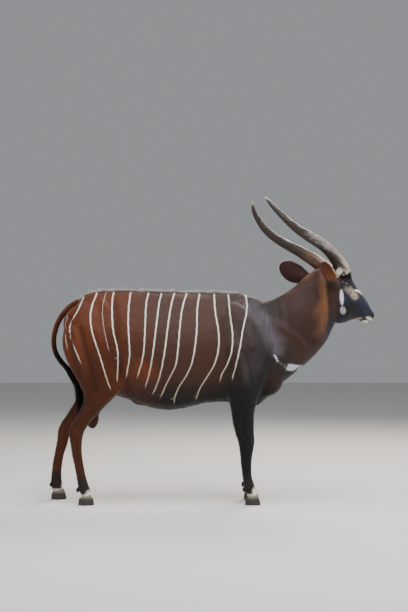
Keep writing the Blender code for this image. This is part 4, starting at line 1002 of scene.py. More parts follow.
def ease(item: bpy.types.Object, rounds: int, weights: np.ndarray | None = None) -> None:
    """Smooth an object, by weight when one is given for each vertex."""
    step = item.modifiers.new("ease", "SMOOTH")
    step.factor = 0.5
    step.iterations = rounds
    if weights is not None:
        weigh(item, step, weights)
    apply_all(item)
    item.vertex_groups.clear()


def cut_finer(item: bpy.types.Object, wanted: Callable, soft: float = 0.0) -> None:
    """Halve the edges of a mesh that the given function picks from it."""
    work = bmesh.new()
    work.from_mesh(item.data)
    work.verts.ensure_lookup_table()
    work.edges.ensure_lookup_table()
    bmesh.ops.subdivide_edges(work, edges=wanted(work), cuts=1, smooth=soft)
    bmesh.ops.triangulate(work, faces=[f for f in work.faces if len(f.verts) > 3])
    work.to_mesh(item.data)
    work.free()


@dataclass
class Skin:
    """The one skin of trunk, neck, head and legs."""

    move: Vector
    item: bpy.types.Object | None = None
    points: np.ndarray = field(default_factory=lambda: np.zeros((0, 3)))

    def shells(self) -> Builder:
        """The closed shells that the skin is fused from."""
        made = Builder()
        side = Vector((0, 1, 0))
        trunk = [(x, top, x, bottom, *rest) for x, top, bottom, *rest in TRUNK]
        for table, lift in ((trunk, 0.25), (NECK, 0.2)):
            rings = []
            for tx, tz, bx, bz, half, above, below in through(table, 2):
                rings.append(egg(Vector((tx, 0, tz)), Vector((bx, 0, bz)), half, above, below, side))
            made.rings(rings, (lift, lift))
        for rows, turn in ((HIND_NEAR, 1), (HIND_FAR, 1), (FORE, -1), (FORE, 1)):
            rings = []
            for rear, front, height, middle, half in through(rows, 3):
                ahead, behind = (Vector((x, middle * turn, height)) for x in (front, rear))
                rings.append(egg(ahead, behind, half, 0.06, 0.10, side, 28))
            made.rings(rings, (0.15, 0.15))
        for sign in (-1, 1):
            blade = axes(Vector((0.30, 0, -0.95)), side)
            made.ball(Vector((0.165, sign * 0.085, 0.985)), (0.205, 0.100, 0.110), blade)
            arm = axes(Vector((-0.62, 0, -0.78)), side)
            made.ball(Vector((0.235, sign * 0.115, 0.820)), (0.150, 0.085, 0.095), arm)
            made.ball(Vector((0.320, sign * 0.045, 0.745)), (0.100, 0.080, 0.120))
            rump = axes(Vector((0.9, 0, 0.20)), side)
            made.ball(Vector((-0.740, sign * 0.080, 1.060)), (0.140, 0.090, 0.120), rump)
            hind = HIND_NEAR if sign < 0 else HIND_FAR
            for x, y in ((hind[17][0], sign * 0.140), (FORE[15][0], sign * 0.130)):
                for claw in (-1, 1):
                    made.ball(Vector((x + 0.003, y + claw * 0.016, 0.088)), (0.012, 0.010, 0.017))
        made.ball(Vector((-0.7099, 0.0, 0.5001)), (0.040, 0.035, 0.070))
        made.ball(Vector((-0.6892, 0.0, 0.6004)), (0.036, 0.026, 0.105))
        made.ball(Vector((-0.3942, 0.0, 0.5915)), (0.080, 0.022, 0.026))
        start = Vector((TAIL[0][0], 0, TAIL[0][1]))
        way = (Vector((TAIL[1][0], 0, TAIL[1][1])) - start).normalized()
        made.tube([(*(start - way * back), 0.026 + back * 0.10) for back in (0.10, 0.05, 0.0, -0.016)], 16)
        self.head(made)
        return made

    def head(self, made: Builder) -> None:
        """Add the shells of the head."""
        side = head_way(0, 1, 0)
        rings = []
        for ta, tz, ba, bz, half, above, below in through(HEAD, 4):
            rings.append(egg(head_point(ta, 0, tz), head_point(ba, 0, bz), half, above, below, side))
        made.rings(rings, (0.35, 0.35))
        face = axes(head_way(0.56, 0, -0.83), side)
        for sign in (-1, 1):
            centre = eye_place(sign)
            turn = eye_turn(sign)
            made.ball(centre - eye_way(sign) * 0.014, (0.031, 0.046, 0.036), turn)
            brow = centre + head_way(0.45, sign * 0.10, 0.75) * 0.020 - eye_way(sign) * 0.004
            made.ball(brow, (0.018, 0.036, 0.014), turn)
            made.ball(head_point(0.004, sign * 0.036, -0.105), (0.090, 0.033, 0.066), face)
            made.ball(head_point(0.085, sign * 0.046, -0.055), (0.060, 0.022, 0.026), face)
            made.ball(head_point(0.2339, sign * 0.020, -0.1759), (0.020, 0.017, 0.019), face)
            made.ball(head_point(0.2118, sign * 0.022, -0.1924), (0.026, 0.018, 0.017), face)
            rows = horn_rows(sign, 2)
            here = Vector(rows[2][:3])
            way = (Vector(rows[3][:3]) - here).normalized()
            spread = ((0.090, 0.048), (0.058, 0.051), (0.036, 0.046), (0.020, 0.034), (0.008, 0.022))
            made.tube([(*(here - way * back), radius) for back, radius in spread], 24, (0.2, 0.2))
        chin = axes(head_way(0.89, 0, -0.45), side)
        made.ball(head_point(0.2053, 0.0, -0.2137), (0.022, 0.024, 0.012), chin)
        for which in ("near", "far"):
            start, along = ear_frame(which)[:2]
            spread = ((-0.055, 0.043), (-0.020, 0.038), (0.010, 0.030), (0.030, 0.0255), (0.044, 0.0240))
            made.tube([(*(start + along * reach), radius) for reach, radius in spread], 20, (0.2, 0.3))

    def build(self) -> None:
        """Fuse the shells, smooth them as the solids were and lay the skin inside them."""
        item = self.shells().item("skin")
        melt = item.modifiers.new("fuse", "REMESH")
        melt.mode = "VOXEL"
        melt.voxel_size = SKIN_VOXEL
        melt.adaptivity = 0.0
        apply_all(item)
        places = coordinates(item.data)
        log.info("remeshed %d", len(places))
        scale = (0.0055 / SKIN_VOXEL) ** 2
        ease(item, 4)
        places = coordinates(item.data)
        neck = 1 - headness(places)
        ease(item, int(5 * scale) - 4, neck)
        flesh = np.clip((places[:, 2] - 0.60) / 0.12, 0, 1) * neck
        ease(item, int(45 * scale), flesh)
        places = coordinates(item.data)
        depth = 0.0022 + 0.0016 * flesh
        place_all(item.data, places - normals(item.data) * depth[:, None])
        self.carve(item)
        self.thin(item)
        self.crisp(item)
        self.refine(item)
        self.face(item)
        self.item = item
        self.points = coordinates(item.data)

    def carve(self, item: bpy.types.Object) -> None:
        """Press the relief of muscle, ribs and tendons into the sides."""
        places = coordinates(item.data)
        ways = normals(item.data)
        place = chart(places)
        body = 1 - headness(places)
        side = smooth(0.25, 0.75, np.abs(ways[:, 1]))
        push = relief(place, RELIEF) * 2.0 * side * body + relief(place, FACE_RELIEF) * (1 - body)
        ribs = np.zeros(len(places))
        for top, lean in RIBS:
            line = [(top, 318), (top - lean * 0.3, 345), (top - lean, 385)]
            ribs += np.exp(-(line_distance(place, line) / 2.4) ** 2)
        push += 0.0022 * ribs * side * body
        push += 0.0012 * rough(places, 0.09, 1.3) * body * smooth(0.5, 0.7, places[:, 2])
        place_all(item.data, places + ways * push[:, None])

    def thin(self, item: bpy.types.Object) -> None:
        """Leave fewer triangles on the flat of the body than on the head."""
        places = coordinates(item.data)
        weight = 1.0 - 0.93 * headness(places) * smooth(0.60, 0.66, places[:, 0])
        weight = np.minimum(weight, 1.0 - 0.5 * (1 - smooth(0.45, 0.6, places[:, 2])))
        step = item.modifiers.new("thin", "DECIMATE")
        step.ratio = min(1.0, SKIN_TRIANGLES / (2 * len(item.data.polygons)))
        weigh(item, step, weight)
        step.vertex_group_factor = 1.0
        step.use_collapse_triangulate = True
        apply_all(item)
        item.vertex_groups.clear()
        log.info("thinned to %d triangles", len(item.data.polygons))

    def crisp(self, item: bpy.types.Object) -> None:
        """Cut the skin finer where a marking's edge runs, so that the edge stays sharp."""
        for sharp, reach in CRISP_PASSES:

            def wanted(work: bmesh.types.BMesh) -> list:
                """The long edges near a stripe or the chest mark."""
                places = np.array([v.co for v in work.verts])
                marks = stripe_marks(places, np.array([v.normal for v in work.verts]))
                gap = np.abs(marks[:, 0] - np.round(marks[:, 0])) * marks[:, 1]
                near = (gap < reach) & (marks[:, 2] > 0.03)
                near |= line_distance(chart(places), CHEST_MARK) < 4.5
                return [e for e in work.edges
                        if (near[e.verts[0].index] or near[e.verts[1].index]) and e.calc_length() > sharp]

            cut_finer(item, wanted)
        log.info("markings cut to %d triangles", len(item.data.polygons))

    def lines(self, tree: BVHTree) -> dict:
        """The mouth lines and nostrils as places on the skin."""
        found = {}
        pairs = list(zip(MOUTH[0::2], MOUTH[1::2]))
        rows = through(pairs, 4)
        for sign in (-1, 1):
            mouth = []
            for i, (a, z) in enumerate(rows):
                ahead = max(i - 0.62 * len(rows), 0) / (0.38 * len(rows))
                way = head_way(ahead * 1.1, sign * (1 - 0.75 * ahead), -0.15 * ahead)
                spot = tree.ray_cast(head_point(a - 0.018 * ahead, 0, z), way, 0.2)[0]
                if spot is not None:
                    mouth.append(tuple(spot))
            found["mouth", sign] = mouth
            nostril = []
            for a, z, out in NOSTRIL:
                spot = tree.find_nearest(head_point(a, sign * out, z))[0]
                nostril.append(tuple(spot))
            found["nostril", sign] = nostril
        return found

    def refine(self, item: bpy.types.Object) -> None:
        """Cut the skin finer round the mouth and the nostrils, and sculpt them."""
        found = self.lines(tree_of(item.data))
        for reach, sharp in ((0.011, 0.0024), (0.007, 0.0012)):

            def wanted(work: bmesh.types.BMesh) -> list:
                """The long edges near the mouth and the nostrils."""
                middles = np.array([(e.verts[0].co + e.verts[1].co) / 2 for e in work.edges])
                near = np.array([e.calc_length() for e in work.edges]) > sharp
                gaps = [line_distance(middles, line) for line in found.values()]
                return [work.edges[i] for i in np.nonzero(near & (np.min(gaps, 0) < reach))[0]]

            cut_finer(item, wanted, 0.35)
        places = coordinates(item.data)
        ways = normals(item.data)
        push = np.zeros(len(places))
        for (kind, _), line in found.items():
            gap = line_distance(places, line)
            deep, width, lip, away, broad = GROOVES[kind]
            push += lip * np.exp(-((gap - away) / broad) ** 2) - deep * np.exp(-(gap / width) ** 2)
        place_all(item.data, places + ways * push[:, None])
        self.found = found

    def face(self, item: bpy.types.Object) -> None:
        """Sink the skin behind each eye opening, where the lids lie over it."""
        places = coordinates(item.data)
        for sign in (-1, 1):
            turn = np.array(eye_turn(sign))
            local = (places - np.array(eye_place(sign))) @ turn
            flat = np.hypot(local[:, 1] / EYE_LONG, local[:, 2] / EYE_TALL)
            inside = (1 - smooth(1.05, 1.55, flat)) * (local[:, 0] > -0.002)
            target = np.minimum(local[:, 0], 0.0065)
            local[:, 0] = local[:, 0] * (1 - inside) + target * inside
            places = local @ turn.T + np.array(eye_place(sign))
        place_all(item.data, places)

    def dress(self, finish: "Finish") -> None:
        """Colour the skin and move it onto the solids."""
        data = self.item.data
        places = coordinates(data)
        paint = Paint(base_tone(places))
        wet = blob(chart(places), (373.4, 314.0), (2.5, 4.1), -8, 0.3) * headness(places)
        # Painted shade inside the mouth line and the nostrils, darker than the nose pad.
        for (kind, _), line in self.found.items():
            gap = line_distance(places, line)
            ends = (0.0012, 0.0026) if kind == "mouth" else (0.002, 0.0055)
            paint.lay(Hue.PAD.light * 0.6, 1 - smooth(*ends, gap))
        vector_attribute(data, "Mark", stripe_marks(places, normals(data)))
        vector_attribute(data, "Part", np.stack([wet, smooth(0.5, 0.7, places[:, 2]), headness(places)], 1))
        finished(self.item, finish, self.move, FLESH, paint.colour)


def finished(item: bpy.types.Object, finish: "Finish", move: Vector, nodes: tuple = (),
             tone_: np.ndarray | None = None) -> None:
    """Give a piece its finish and tone, move it onto the solids and let it ride and replace them."""
    if tone_ is not None:
        colour_attribute(item.data, "Tone", np.clip(tone_, 0, 1))
    item.data.materials.append(finish.material)
    item.data.transform(Matrix.Translation(move))
    item.data.shade_smooth()
    item.data.update()
    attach(item, "root")
    if nodes:
        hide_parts(*nodes)
    log.info("%s: %d triangles", item.name, sum(len(p.vertices) - 2 for p in item.data.polygons))


@dataclass
class Ear:
    """One broad cup-shaped ear."""

    which: str
    name: str
    move: Vector
    rims: list = field(default_factory=list)

    def grid(self) -> tuple:
        """Rings of the outer and the inner wall, with their share of the length and their turn."""
        start, along, opening, across = ear_frame(self.which)
        arc = 29
        rings = []
        for share, wide, deep, wrap, bend in through([(-0.10, 0.0215, 0.0205, 155.0, 0.0)] + EAR, 6):
            reach = EAR_SEAT + (EAR_LENGTH - EAR_SEAT) * share
            wall = 0.0034 * (1 - 0.55 * max(share, 0)) + 0.0012
            swell = math.sin(math.pi * min(max(share, 0), 1))
            middle = start + along * reach + opening * bend
            ring = []
            for side in (1, -1):
                for k in range(arc):
                    part = -1 + 2 * k / (arc - 1)
                    angle = math.radians(wrap) * part * side
                    inset = wall * (side == -1)
                    wave = 0.0010 * math.sin(part * 11.0) * swell * (side == -1)
                    curl = 0.004 * part * part * swell
                    spot = middle + across * (wide - inset) * math.sin(angle)
                    spot = spot - opening * ((deep - inset + wave) * math.cos(angle) - curl)
                    ring.append((spot, share, part * side, side))
            rings.append(ring)
        return rings, arc

    def build(self, finish: "Finish") -> None:
        """Make the ear and colour its back and its inside."""
        rings, arc = self.grid()
        made = Builder()
        made.rings([[p[0] for p in ring] for ring in rings], (0.0, 0.0))
        item = made.item(self.name)
        places = coordinates(item.data)
        shares = np.array([p[1] for ring in rings for p in ring] + [0.0, 1.0])
        parts = np.array([p[2] for ring in rings for p in ring] + [0.0, 0.0])
        inner = np.array([p[3] == -1 for ring in rings for p in ring] + [False, False], float)
        paint = Paint(self.tint(shares))
        paint.lay(Hue.BEIGE.light, smooth(0.80, 0.97, np.abs(parts)) * smooth(0.12, 0.3, shares) * 0.5)
        # The inside of the cup is darker towards its foot, as painted shade in the hollow.
        skin = Hue.EAR_INNER.light * (0.45 + 0.5 * smooth(0.1, 0.7, shares))[:, None]
        paint.lay(skin, inner)
        plain_marks(item.data)
        self.rims = [(ring[0][0], ring[arc - 1][0], ring[0][1]) for ring in rings]
        self.surface = (places, normals(item.data), inner, shares)
        finished(item, finish, self.move, (self.name,), paint.colour)

    def tint(self, shares: np.ndarray) -> np.ndarray:
        """The colour of the ear's back, with a darker end, the neck's colour at its foot and painted shade
        all over the far ear.
        """
        # The far ear's back is the darker brown all over, as painted shade.
        back = Hue.EAR_BACK if self.which == "near" else Hue.EAR_DARK
        paint = Paint(np.tile(back.light, (len(shares), 1)))
        paint.lay(Hue.EAR_DARK.light, smooth(0.55, 0.95, shares) * 0.45)
        paint.lay(Hue.NECK.light, (1 - smooth(0.02, 0.20, shares)) * 0.85)
        return paint.colour


@dataclass
class Eye:
    """One eyeball, its lids and its lashes."""

    sign: int
    name: str
    move: Vector

    def ball(self, finish: "Finish") -> None:
        """The eyeball with a slightly raised front."""
        made = Builder()
        made.ball(Vector((0, 0, 0)), (EYE_RADIUS,) * 3)
        item = made.item(self.name.replace("eye", "eyeball"))
        local = coordinates(item.data)
        ahead = local[:, 0] / EYE_RADIUS
        lift = 0.0011 * smooth(0.80, 0.97, ahead)
        local = local * (1 + lift / EYE_RADIUS)[:, None]
        turn = np.array(eye_turn(self.sign))
        place_all(item.data, local @ turn.T + np.array(eye_place(self.sign)))
        vector_attribute(item.data, "Gaze", local)
        finished(item, finish, self.move, (self.name,))

    def lids(self, skin: Skin, finish: "Finish") -> None:
        """A patch of skin that closes over the eyeball and melts into the face."""
        tree = tree_of(skin.item.data)
        turn = eye_turn(self.sign)
        centre = eye_place(self.sign)
        count = 96
        steps = [0.0, 0.04, 0.08, 0.12, 0.16, 0.20, 0.26, 0.32, 0.38, 0.44, 0.50, 0.56, 0.62]
        steps += [0.70, 0.80, 0.90, 1.0]
        points = []
        shade = []
        for q in steps:
            for i in range(count):
                angle = 2 * math.pi * i / count
                long = math.cos(angle)
                tall = math.sin(angle)
                shape = tall * (1 - 0.50 * abs(long) ** 2.4)
                droop = -0.0010 * long
                grow = 1 + 1.30 * q
                y = long * 0.0208 * grow
                z = shape * 0.0110 * (1 + (2.1 if tall > 0 else 1.9) * q) + droop
                flat = min(math.hypot(y, z), 0.030)
                tight = math.sqrt(max((EYE_RADIUS + 0.0007) ** 2 - min(flat, EYE_RADIUS) ** 2, 0.0))
                over = EYE_RADIUS + 0.0034
                dome = math.sqrt(max(over ** 2 - min(flat, over * 0.97) ** 2, 0.0))
                lip = smooth(0.0, 0.14, np.array(q)).item()
                lid = tight * (1 - lip) + dome * lip
                away = centre + turn @ Vector((0.09, y, z))
                spot = tree.ray_cast(away, -(turn @ Vector((1, 0, 0))), 0.14)[0]
                base = (turn.transposed() @ (spot - centre)).x if spot is not None else 0.0
                melt = smooth(0.40, 0.86, np.array(q)).item()
                crease = 0.0016 * math.exp(-((q - (0.52 if tall > 0 else 0.46)) / 0.05) ** 2)
                fold = 0.0012 * math.exp(-((q - 0.66) / 0.06) ** 2) * (tall < 0.2)
                depth = lid * (1 - melt) + (max(base, lid - 0.012) + 0.0006) * melt - crease - fold
                if q >= 1.0:
                    depth -= 0.0030
                points.append(centre + turn @ Vector((depth, y, z)))
                rim = 1 - smooth(0.10, 0.20, np.array(q)).item()
                shade.append((rim, q, tall))
        faces = []
        for r in range(len(steps) - 1):
            for i in range(count):
                j = (i + 1) % count
                faces.append((r * count + i, r * count + j, (r + 1) * count + j, (r + 1) * count + i))
        data = bpy.data.meshes.new(self.name.replace("eye", "lids"))
        data.from_pydata([tuple(p) for p in points], [], faces)
        item = linked(data.name, data)
        places = coordinates(data)
        if (normals(data)[5 * count] @ np.array(eye_way(self.sign))) < 0:
            data.flip_normals()
        rows = np.array(shade)
        paint = Paint(base_tone(places))
        paint.lay(Hue.PAD.light, smooth(0.05, 0.5, 1 - rows[:, 1] / 0.42) * 0.75)
        # A lighter tan line along the upper lid's fold: partly the lid's own tan and partly a painted
        # highlight.
        fold = np.exp(-((rows[:, 1] - 0.60) / 0.10) ** 2) * smooth(-0.1, 0.5, rows[:, 2])
        paint.lay(Hue.BEIGE.light * 0.7, fold * 0.42)
        ones = np.ones(len(places))
        plain_marks(data, np.stack([rows[:, 0] * 0.8, ones, ones], 1))
        self.edge = [points[3 * count + i] for i in range(count)]
        finished(item, finish, self.move, (), paint.colour)


@dataclass
class Horn:
    """One lyre-shaped horn with a keel that winds round it."""

    sign: int
    name: str
    move: Vector

    def build(self, finish: "Finish") -> None:
        """Make the horn with its growth ripples and colour it, with painted light on its upper and outer
        faces.
        """
        sides = 56
        sunk = 9
        fine = through(horn_rows(self.sign, 1), 12)[12 * HORN_SEAT - sunk:]
        total = len(fine) - 1
        rings = []
        marks = []
        for i, row in enumerate(fine):
            here = Vector(row[:3])
            turn = axes(Vector(fine[min(i + 1, total)][:3]) - Vector(fine[max(i - 1, 0)][:3]),
                        head_way(0.2, self.sign * 1.0, 0.1))
            share = (i - sunk) / (total - sunk)
            twist = self.sign * 2 * math.pi * HORN_TURNS * share
            ripple = 0.005 * math.sin(i * 0.9) + 0.004 * math.sin(i * 0.55 + 1)
            fade = max(1 - share * 1.4, 0.0)
            ring = []
            for k in range(sides):
                column = 2 * math.pi * k / sides
                angle = column + twist
                ridge = max(math.cos(column - 0.6), 0.0) ** 4
                dent = max(math.cos(column + 2.2), 0.0) ** 3
                size = row[3] * (1 + HORN_KEEL * ridge - 0.10 * dent + ripple * fade) - 0.0004
                size += 0.0009 * math.sin(column * 9 + i * 0.05) * fade * (1 - share)
                ring.append(here + turn @ Vector((0, math.cos(angle), math.sin(angle))) * max(size, 0.0012))
                marks.append((share, ridge, dent))
            rings.append(ring)
        back = rings[0]
        shift = (Vector(fine[0][:3]) - Vector(fine[1][:3])).normalized() * 0.004
        rings.insert(0, [p + shift for p in back])
        marks = marks[:sides] + marks
        made = Builder()
        made.rings(rings, (0.0, 0.8))
        item = made.item(self.name + "_dressed")
        places = coordinates(item.data)
        rows = np.array(marks + [marks[0], marks[-1]])
        ways = normals(item.data)
        wave = rough(places, 0.05, 1.1) * 0.5 + rough(places, 0.017, 2.3) * 0.5
        share = rows[:, 0]
        # Painted light: the horn is a lighter grey where it faces up and on its outer face, over its dark
        # brown.
        up = ways @ np.array(head_way(0.65, 0, 0.75))
        outer = ways[:, 1] * self.sign * (1 - smooth(0.46, 0.62, share + 0.10 * up))
        paint = Paint(Hue.HORN_DARK.light * (0.85 + 0.45 * wave)[:, None])
        lit_grey = smooth(-0.05, 0.55, up * 0.85 + outer * 0.80 + 0.25 * (wave - 0.5))
        paint.lay(Hue.HORN_LIT_GREY.light * (0.72 + 0.42 * wave)[:, None], lit_grey)
        warm = (1 - smooth(0.20, 0.42, share)) * (1 - smooth(-0.1, 0.5, outer)) * 0.6
        paint.lay(Hue.HORN.light * (0.75 + 0.35 * wave)[:, None], warm)
        front = smooth(-0.55, 0.55, ways @ np.array(head_way(0.75, 0, 0.45)))
        paint.lay(Hue.HORN_PALE.light, (1 - smooth(0.03, 0.26, share + 0.05 * wave)) * front * 0.88)
        paint.lay(Hue.HORN_PALE.light, smooth(0.945, 0.99, share) * 0.6)
        vector_attribute(item.data, "Along", np.stack([share, rows[:, 1], rows[:, 2]], 1))
        finished(item, finish, self.move, (self.name,), paint.colour)


@dataclass
class Hoof:
    """One half of a cloven hoof."""

    name: str

    def build(self, finish: "Finish") -> None:
        """Make the claw inside its solid, with a rounded crown and growth rings."""
        low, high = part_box(self.name)
        long = (high.x - low.x) / 2
        wide = (high.y - low.y) / 2
        middle = Vector(((low.x + high.x) / 2, (low.y + high.y) / 2, 0))
        toe = 1 if self.name.endswith("left_toe") else -1
        count = 48
        rings = []
        levels = [0.0, 0.004, 0.010, 0.016, 0.022, 0.028, 0.034, 0.040, 0.046, 0.052]
        for i, level in enumerate(levels):
            part = i / (len(levels) - 1)
            size = (0.965, 0.99, 0.98, 0.95, 0.925, 0.90, 0.87, 0.84, 0.81, 0.74)[i]
            ring = []
            for k in range(count):
                angle = 2 * math.pi * k / count
                x, y = math.cos(angle), math.sin(angle)
                inner = y * toe < 0
                pinch = 1 - 0.42 * max(x, 0) ** 2 - 0.10 * max(-x, 0) ** 3
                half = wide * (0.80 if inner else 1.20) * pinch
                py = middle.y - toe * wide * 0.20 + y * half * (size if not inner else 0.97)
                px = middle.x + x * long * size - part * 0.008
                ring_wave = 0.0003 * math.sin(i * 2.6)
                pz = level + 0.36 * (px - middle.x) * part
                ring.append(Vector((px + x * ring_wave, py, max(pz, 0.0))))
            rings.append(ring)
        made = Builder()
        made.rings(rings, (0.0, 0.0))
        item = made.item(self.name + "_dressed")
        places = coordinates(item.data)
        wave = rough(places, 0.012, 0.4)
        share = np.clip(places[:, 2] / 0.05, 0, 1)
        paint = Paint(Hue.HOOF.light * (0.8 + 0.25 * wave)[:, None])
        paint.lay(Hue.BEIGE.light, 0.35 * smooth(0.6, 1.0, share))
        vector_attribute(item.data, "Along", np.stack([share, share, share], 1))
        finished(item, finish, Vector((0, 0, 0)), (self.name,), paint.colour)


@dataclass
class Tail:
    """The tail's flesh, inside its hair."""

    move: Vector

    def build(self, finish: "Finish") -> None:
        """Make the tail's core."""
        rows = through(TAIL, 5)
        made = Builder()
        path = []
        for i, (x, z, y, radius) in enumerate(rows):
            thin = 0.0030 + 0.009 * float(smooth(0.60, 0.80, np.array(i / len(rows))))
            path.append((x, y, z, max(radius - thin, 0.004)))
        start = Vector(path[0][:3])
        way = (Vector(path[1][:3]) - start).normalized()
        path.insert(0, (*(start - way * 0.02), path[0][3]))
        made.tube(path, 28, (0.0, 0.5))
        item = made.item("tail_core")
        self.rows = rows
        plain_marks(item.data)
        finished(item, finish, self.move, ("tail",), self.tint(coordinates(item.data)))

    def tint(self, places: np.ndarray) -> np.ndarray:
        """The tail's colour: rufous above, black towards the end, and darker on the inner side as painted
        shade.
        """
        down = smooth(1.02, 0.84, places[:, 2]) * 0.9
        line = np.array([(r[0], r[2], r[1]) for r in self.rows])
        nearest = ((places[:, None, :] - line[None, :, :]) ** 2).sum(2).argmin(1)
        # The inner side of the tail's arc is darkened as painted shade.
        out = smooth(-0.004, 0.008, line[nearest, 0] - places[:, 0])
        paint = Paint(Hue.RUFOUS.light * (1 - 0.55 * (1 - out))[:, None])
        paint.lay(Hue.BELLY.light * 0.8, 0.35 * (1 - out) + down)
        return paint.colour


def lie(points: np.ndarray) -> np.ndarray:
    """The way the coat lies at each point, before it is laid onto the skin."""
    x, z = points[:, 0], points[:, 2]
    ways = Paint(np.tile(np.array([-1.0, 0.0, -0.22]), (len(points), 1)))
    ways.lay(np.array([-0.62, 0.0, -0.78]), smooth(0.20, 0.40, x) * smooth(0.7, 0.8, z))
    ways.lay(np.array([-0.30, 0.0, -0.95]), smooth(-0.52, -0.72, x) * smooth(1.18, 1.05, z))
    trunk = smooth(-0.52, -0.42, x) * smooth(0.12, 0.02, x)
    ways.lay(np.array([-0.12, 0.0, -0.99]), (1 - smooth(0.52, 0.72, z)) * (1 - trunk))
    ways.lay(np.array(head_way(-0.80, 0.0, 0.30)), headness(points))
    return ways.colour


def spread_out(value: Vector, places: np.ndarray) -> np.ndarray:
    """The same three numbers for each place."""
    return np.tile(np.array(value), (len(places), 1))


@dataclass(frozen=True)
class Cut:
    """The shape of one kind of tuft, in metres.

    Args:
        length: From root to tip.
        width: Across at the widest.
        thick: Through the flat side.
        rise: How far the middle and tip stand off the skin.
        steps: Sections between root and tip.
        sides: Corners of a section.
    """

    length: float
    width: float
    thick: float
    rise: float
    steps: int = 2
    sides: int = 3


SHORT_HAIR = Cut(0.0135, 0.0013, 0.0004, 0.0006, 1)
EDGE_HAIR = Cut(0.024, 0.0020, 0.0008, 0.0034, 3)
COLLAR_HAIR = Cut(0.0150, 0.0016, 0.0006, 0.0050)
CREST_HAIR = Cut(0.037, 0.0018, 0.0010, 0.0155, 3)
EAR_FRINGE = Cut(0.024, 0.0013, 0.0007, 0.003)
EAR_HAIR = Cut(0.0095, 0.0013, 0.0005, 0.0010)
EAR_INSIDE = Cut(0.020, 0.0010, 0.0005, 0.0045)
TAIL_HAIR = Cut(0.020, 0.0018, 0.0007, 0.0022)
TAIL_TUFT = Cut(0.105, 0.0030, 0.0014, 0.0040, 5, 4)
LASH = Cut(0.0085, 0.0006, 0.0004, 0.002)


